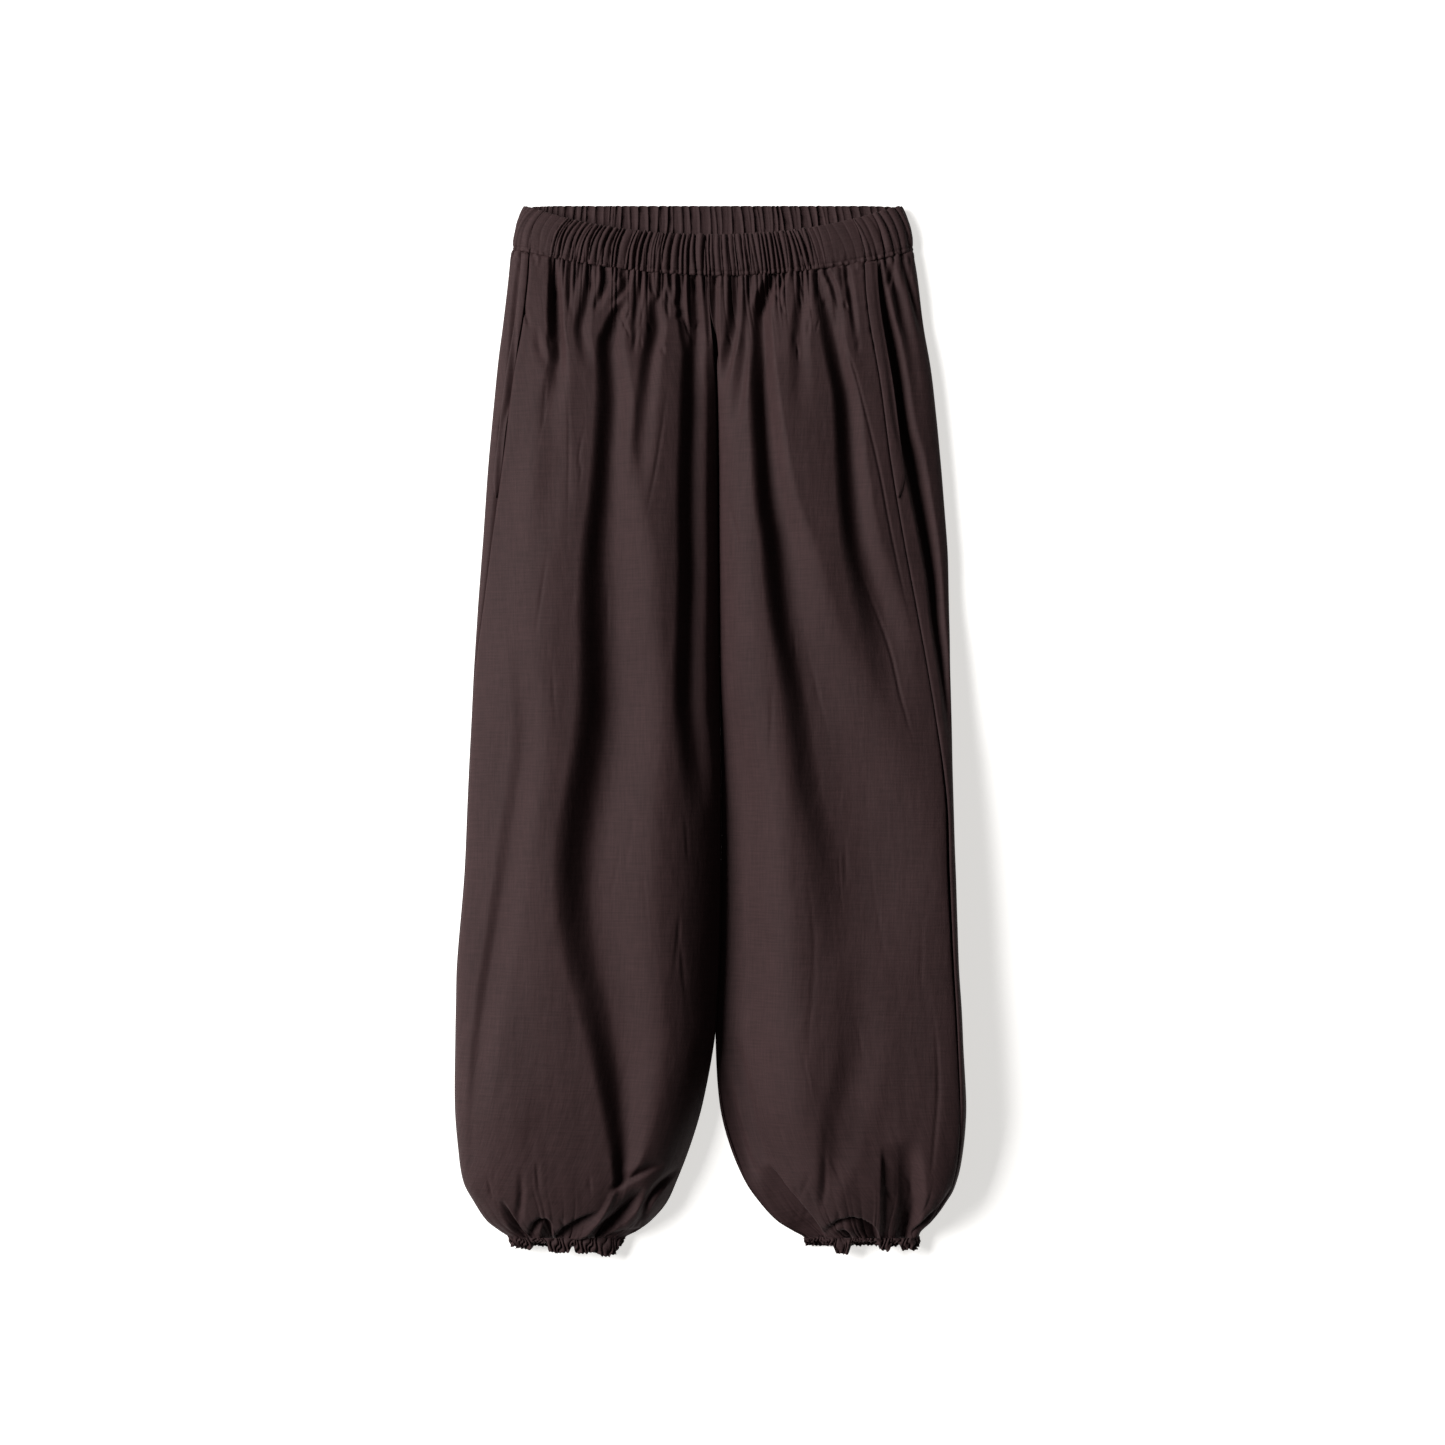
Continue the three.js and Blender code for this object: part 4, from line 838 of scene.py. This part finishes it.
def band_piece(name, half, material):
    """Half of the waistband: gathered cloth over the elastic, with a row of stitching above the seam."""
    ys = BAND_ROWS
    length = WAIST[half]["length"]
    share = np.linspace(0, 1, BAND_COLUMNS[half])[None, :]
    points, normals = band_surface(ys, share, half)
    up_band = (ys[:, None] - WAIST_SEAM_Y) / BAND_HEIGHT
    fan = FAN_LEAN * np.clip((share - 0.5) * FAN_REACH, -1, 1) * (up_band - 0.5)
    at = share * length + (fan if half == "front" else BACK_FAN * fan)
    wave = band_gathers(at, up_band[:, 0], half) + seam_puckers(at, ys)
    arch = np.sin(np.pi * np.clip(up_band, 0, 1))
    up = ys[:, None] - WAIST_SEAM_Y
    stitched = STITCH_DEPTH * np.exp(-((up - STITCH_UP) / STITCH_REACH) ** 2)
    stand = wave * lerp(EDGE_WAVE, 1, arch) + BAND_ARCH * arch**0.5 - stitched
    stand -= BAND_TURN * np.clip(-up / BAND_TURN_REACH, 0, 1)
    stand = lerp(stand, np.minimum(stand - BAND_REST, 0), smooth(-normals[..., 2]))
    outer = points + normals * stand[..., None]
    top = np.clip((up_band - 1) / TOP_SHARE + 1, 0, 1)
    corner = smooth((np.abs(points[..., 0] - CORNER_MIDDLE) - CORNER_FROM) / CORNER_OVER)
    outer[..., 1] += (TOP_WAVE * wave - TOP_DROP) * top - CORNER_DROP * corner * up_band
    piece = shell(name, outer, normals, BAND_CLOTH, share * length * BAND_FULLNESS, ys, material)
    register(piece)


# Where the hem's frill shows below the billow: from x, to x, and the y of its lowest edge
CLUMPS = {
    "right": ((-176, -158, -466), (-145, -124, -469), (-121, -96, -469.5), (-98, -82, -472)),
    "left": ((99, 112, -463), (112, 126, -471), (152, 162, -467.5), (171, 187, -467)),
}
CLUMP_FADE = 4
PLAIN_DROP, BACK_DROP = 3.5, 8  # how far the frill reaches between the clumps, and at the back
CUFF_GATHERS, CUFF_SPREAD, CUFF_HEIGHTS = 28, 0.7, (1.0, 2.8)
CASING_BULGE, CASING_TURNS, CUFF_REST = 1.2, 1.3, 1.2
UPPER_WAVE, LOWER_WAVE = 0.7, 1.3  # the gathers open towards the frill
WRIGGLE, WRIGGLE_TURNS, WRIGGLE_PHASE = 1.5, 5, 0.4  # the gathers wind a little on their way down
RAGGED, RIPPLE, RIPPLE_PITCH = (-1.1, 0.8), 0.4, 1.7  # how far the frill's edge is off its line


def frill_edge(x, clumps):
    """The y of the frill's lowest edge along x."""
    low = np.full_like(x, HEM_SEAM_Y - PLAIN_DROP)
    for start, stop, y in clumps:
        inside = smooth((x - start) / CLUMP_FADE + 0.5) * smooth((stop - x) / CLUMP_FADE + 0.5)
        low = lerp(low, y, inside)
    return low


def cuff_piece(leg, side, half, material):
    """Half of a cuff: the casing in small gathers, and the hem's frill below it."""
    ys = CUFF_ROWS
    s = leg.sections(ys)
    start, stop = (0 * s["seam"], s["seam"]) if half == "front" else (s["seam"], s["end"])
    share = np.linspace(0, 1, CUFF_COLUMNS)[None, :]
    runs = lerp(start[:, None], stop[:, None], share)
    points = leg.points(ys, runs)
    normals = leg.normals(ys, runs)
    length = float((stop - start)[0])
    along = share * length
    places = uneven_steps(length, CUFF_GATHERS, CUFF_SPREAD)
    heights = rng.uniform(*CUFF_HEIGHTS, CUFF_GATHERS)
    down = (HEM_SEAM_Y - ys[:, None]) / (CASING_HEIGHT + FRILL_DROP)
    reach = np.clip(down, 0, 1)
    wriggle = WRIGGLE * np.sin(WRIGGLE_TURNS * down + WRIGGLE_PHASE * along)
    wave, i = gather_wave(along + wriggle, places, heights)
    bulge = CASING_BULGE * np.sin(np.pi * np.clip(down * CASING_TURNS, 0, 1))
    stand = wave * lerp(UPPER_WAVE, LOWER_WAVE, reach) + bulge
    stand = lerp(stand, np.minimum(stand - CUFF_REST, 0), smooth(-normals[..., 2]))
    outer = points + normals * stand[..., None]
    outer[..., 2] = np.maximum(outer[..., 2], 0)
    ragged = rng.uniform(*RAGGED, CUFF_GATHERS)[i] + RIPPLE * np.sin(along * RIPPLE_PITCH)
    low = frill_edge(points[..., 0], CLUMPS[side]) if half == "front" else HEM_SEAM_Y - BACK_DROP
    lowered = HEM_SEAM_Y + (low - HEM_SEAM_Y) * reach + ragged * reach**2
    outer[..., 1] = np.where(down > 0, lowered, outer[..., 1])
    name = f"{side}_cuff_{half}_cloth"
    piece = shell(name, outer, normals, CUFF_CLOTH, along * CUFF_FULLNESS, ys, material)
    register(piece)


def node(tree, kind, **inputs):
    """A shader node with its inputs set or linked; an underscore stands for a space in a name."""
    made = tree.nodes.new(kind)
    for key, value in inputs.items():
        socket = made.inputs[key.replace("_", " ")]
        if isinstance(value, bpy.types.NodeSocket):
            tree.links.new(value, socket)
        else:
            socket.default_value = value
    return made


def maths(tree, operation, a, b=None):
    made = tree.nodes.new("ShaderNodeMath")
    made.operation = operation
    for socket, value in zip(made.inputs, (a, b)):
        if isinstance(value, bpy.types.NodeSocket):
            tree.links.new(value, socket)
        elif value is not None:
            socket.default_value = value
    return made.outputs[0]


def stretched_noise(tree, uv, scale, detail=2.0):
    """Noise at its own scale along each direction of the cloth."""
    mapping = node(tree, "ShaderNodeMapping", Vector=uv, Scale=scale)
    noise = node(tree, "ShaderNodeTexNoise", Vector=mapping.outputs[0], Scale=1.0, Detail=detail)
    return noise.outputs["Fac"]


def bump(tree, height, distance, normal=None, strength=1.0):
    """Raises the normal by a height, in metres."""
    made = node(tree, "ShaderNodeBump", Height=height, Strength=strength, Distance=distance)
    if normal is not None:
        tree.links.new(normal, made.inputs["Normal"])
    return made.outputs[0]


THREAD = 0.00055  # pitch of the weave
WARP_SLUBS, WEFT_SLUBS = (700, 40, 1), (40, 700, 1)  # noise scales: thin along one thread
CLOUDS, WRINKLES, SOFT_DETAIL = (22, 9, 1), (130, 38, 1), 3.0
SLUB_SHARE, CLOUD_SHARE = 0.5, 0.35
TONE_FROM = 0.35  # tone at which the colour is darkest
DARK_SHARE, LIGHT_SHARE = 0.62, 1.42  # of the cloth's colour
SLUB_HEIGHT, THREAD_HEIGHT, FINE_STRENGTH = 0.00012, 0.00008, 0.5
PANEL_WRINKLE, GATHERED_WRINKLE = 0.0006, 0.0003  # heights in metres
CLOTH_SHADING = {
    "Roughness": 0.72,
    "Specular IOR Level": 0.15,
    "Sheen Weight": 0.03,
    "Sheen Roughness": 0.4,
    "Sheen Tint": (1.0, 0.85, 0.85, 1),
}


def weave_height(tree, uv):
    """Plain weave: warp over weft on alternate crossings."""
    split = node(tree, "ShaderNodeSeparateXYZ", Vector=uv)
    across, along = (maths(tree, "MULTIPLY", split.outputs[k], math.pi / THREAD) for k in range(2))
    warp, weft = (maths(tree, "SINE", turn) for turn in (across, along))
    over = maths(tree, "GREATER_THAN", maths(tree, "MULTIPLY", warp, weft), 0.0)
    picked = node(tree, "ShaderNodeMix", Factor=over)
    tree.links.new(maths(tree, "ABSOLUTE", weft), picked.inputs["A"])
    tree.links.new(maths(tree, "ABSOLUTE", warp), picked.inputs["B"])
    return picked.outputs[0]


def cloth_colour(tree, slub, cloudy, colour):
    """The cloth's colour, darker and lighter along its threads and in soft clouds."""
    slub_tone = maths(tree, "MULTIPLY", slub, SLUB_SHARE)
    tone = maths(tree, "ADD", slub_tone, maths(tree, "MULTIPLY", cloudy, CLOUD_SHARE))
    ramp = tree.nodes.new("ShaderNodeValToRGB")
    tree.links.new(tone, ramp.inputs[0])
    dark, light = ramp.color_ramp.elements
    dark.position, light.position = TONE_FROM, 1.0
    dark.color = (*[c * DARK_SHARE for c in colour], 1)
    light.color = (*[c * LIGHT_SHARE for c in colour], 1)
    return ramp.outputs[0]


def cloth_material(name, colour, wrinkle_height):
    material = bpy.data.materials.new(name)
    material.use_nodes = True
    tree = material.node_tree
    shader = tree.nodes["Principled BSDF"]
    uv_map = node(tree, "ShaderNodeUVMap")
    uv_map.uv_map = "cloth"
    uv = uv_map.outputs[0]
    slub = maths(tree, "ADD", stretched_noise(tree, uv, WARP_SLUBS), stretched_noise(tree, uv, WEFT_SLUBS))
    cloudy = stretched_noise(tree, uv, CLOUDS, SOFT_DETAIL)
    tree.links.new(cloth_colour(tree, slub, cloudy, colour), shader.inputs["Base Color"])
    for socket, value in CLOTH_SHADING.items():
        shader.inputs[socket].default_value = value
    wrinkled = bump(tree, stretched_noise(tree, uv, WRINKLES, SOFT_DETAIL), wrinkle_height)
    slubbed = bump(tree, slub, SLUB_HEIGHT, wrinkled, FINE_STRENGTH)
    woven = bump(tree, weave_height(tree, uv), THREAD_HEIGHT, slubbed, FINE_STRENGTH)
    tree.links.new(woven, shader.inputs["Normal"])
    return material


def floor_material(name, colour, glow_colour, glow):
    material = bpy.data.materials.new(name)
    material.use_nodes = True
    shader = material.node_tree.nodes["Principled BSDF"]
    shader.inputs["Base Color"].default_value = (*colour, 1)
    shader.inputs["Roughness"].default_value = 0.9
    shader.inputs["Emission Color"].default_value = (*glow_colour, 1)
    shader.inputs["Emission Strength"].default_value = glow
    return material


BROWN = (0.0322, 0.0163, 0.0166)
# The cuffs' colour is the panels' brown made 5% darker, though they are the same cloth: painted shade
# standing in for the shadow in their gathers.
CUFF_PAINTED_SHADE = 0.95
CUFF_BROWN_WITH_PAINTED_SHADE = [c * CUFF_PAINTED_SHADE for c in BROWN]
panel_cloth = cloth_material("panel_cloth", BROWN, PANEL_WRINKLE)
band_cloth = cloth_material("band_cloth", BROWN, GATHERED_WRINKLE)
cuff_cloth = cloth_material("cuff_cloth", CUFF_BROWN_WITH_PAINTED_SHADE, GATHERED_WRINKLE)

POCKET_TOP, POCKET_END, POCKET_TAPER = 427.5, 206, 26
POCKET_WIDTHS = {"right": 7, "left": 11}
POCKET_ROWS = stations((POCKET_TOP, POCKET_END, 116))
POCKET_GAP = 0.3  # from the side seam
POCKET_STAND, POCKET_CROWN, POCKET_POWER = 0.5, 0.9, 0.6


def pocket_mouth(leg, side, material):
    """The turned edge of a pocket mouth, beside the side seam and on the back panel."""
    ys = POCKET_ROWS
    s = leg.sections(ys)
    share = np.linspace(0, 1, POCKET_COLUMNS)[None, :]
    taper = smooth((ys[:, None] - POCKET_END + 2) / POCKET_TAPER) ** 0.5
    runs = s["seam"][:, None] + POCKET_GAP + share * POCKET_WIDTHS[side] * taper
    points = leg.points(ys, runs)
    normals = leg.normals(ys, runs)
    stand = relief(normals, points, leg.side_folds) * (1 - share) + POCKET_STAND
    stand += POCKET_CROWN * np.sin(np.pi * share) ** POCKET_POWER
    outer = points + normals * stand[..., None]
    piece = shell(f"{side}_pocket_mouth_cloth", outer, normals, POCKET_CLOTH, runs, ys, material)
    register(piece)


for side, leg in (("right", RIGHT), ("left", LEFT)):
    front_panel(leg, f"{side}_front_cloth", panel_cloth)
    back_panel(leg, f"{side}_back_cloth", panel_cloth)
    pocket_mouth(leg, side, panel_cloth)
    for half in ("front", "back"):
        cuff_piece(leg, side, half, cuff_cloth)
for half in ("front", "back"):
    band_piece(f"waistband_{half}_cloth", half, band_cloth)

# Stage: a white floor, a large soft light from the left, and a camera straight above
FLOOR_HALF = 4
FLOOR_CORNERS = [(x * FLOOR_HALF, y * FLOOR_HALF, 0) for x, y in ((-1, -1), (1, -1), (1, 1), (-1, 1))]
FLOOR_WHITE, GLOW_WHITE, FLOOR_GLOW = (0.8, 0.79, 0.775), (1, 0.985, 0.96), 0.66
floor_mesh = bpy.data.meshes.new("floor")
floor_mesh.from_pydata(FLOOR_CORNERS, [], [(0, 1, 2, 3)])
floor_mesh.materials.append(floor_material("floor_white", FLOOR_WHITE, GLOW_WHITE, FLOOR_GLOW))
floor = bpy.data.objects.new("floor", floor_mesh)
bpy.context.collection.objects.link(floor)

KEY_DISTANCE = 5
KEY_ELEVATION = math.radians(37)
KEY_AZIMUTH = math.radians(162)
KEY_SIZE = (3.2, 2.4)
KEY_POWER = 460
key_place = Vector([
    KEY_DISTANCE * math.cos(KEY_ELEVATION) * math.cos(KEY_AZIMUTH),
    KEY_DISTANCE * math.cos(KEY_ELEVATION) * math.sin(KEY_AZIMUTH),
    KEY_DISTANCE * math.sin(KEY_ELEVATION),
])
key_data = bpy.data.lights.new("key", "AREA")
key_data.shape = "RECTANGLE"
key_data.size, key_data.size_y = KEY_SIZE
key_data.energy = KEY_POWER
key = bpy.data.objects.new("key", key_data)
key.location = key_place
key.rotation_euler = (-key_place).to_track_quat("-Z", "Y").to_euler()
bpy.context.collection.objects.link(key)

SKY_STRENGTH = 0.045
world = bpy.data.worlds.new("studio")
world.use_nodes = True
sky = world.node_tree.nodes["Background"]
sky.inputs["Color"].default_value = (1, 1, 1, 1)
sky.inputs["Strength"].default_value = SKY_STRENGTH
bpy.context.scene.world = world
bpy.context.scene.view_settings.view_transform = "Standard"

FRAME_WIDTH = 1.3005  # metres of floor across the picture
FRAME_MIDDLE = (0.0117, 0.0054)
LENS, SENSOR = 85, 36
camera_data = bpy.data.cameras.new("camera")
camera_data.lens = LENS
camera_data.sensor_width = SENSOR
camera = bpy.data.objects.new("camera", camera_data)
camera.location = (*FRAME_MIDDLE, FRAME_WIDTH * LENS / SENSOR)
bpy.context.collection.objects.link(camera)
bpy.context.scene.camera = camera
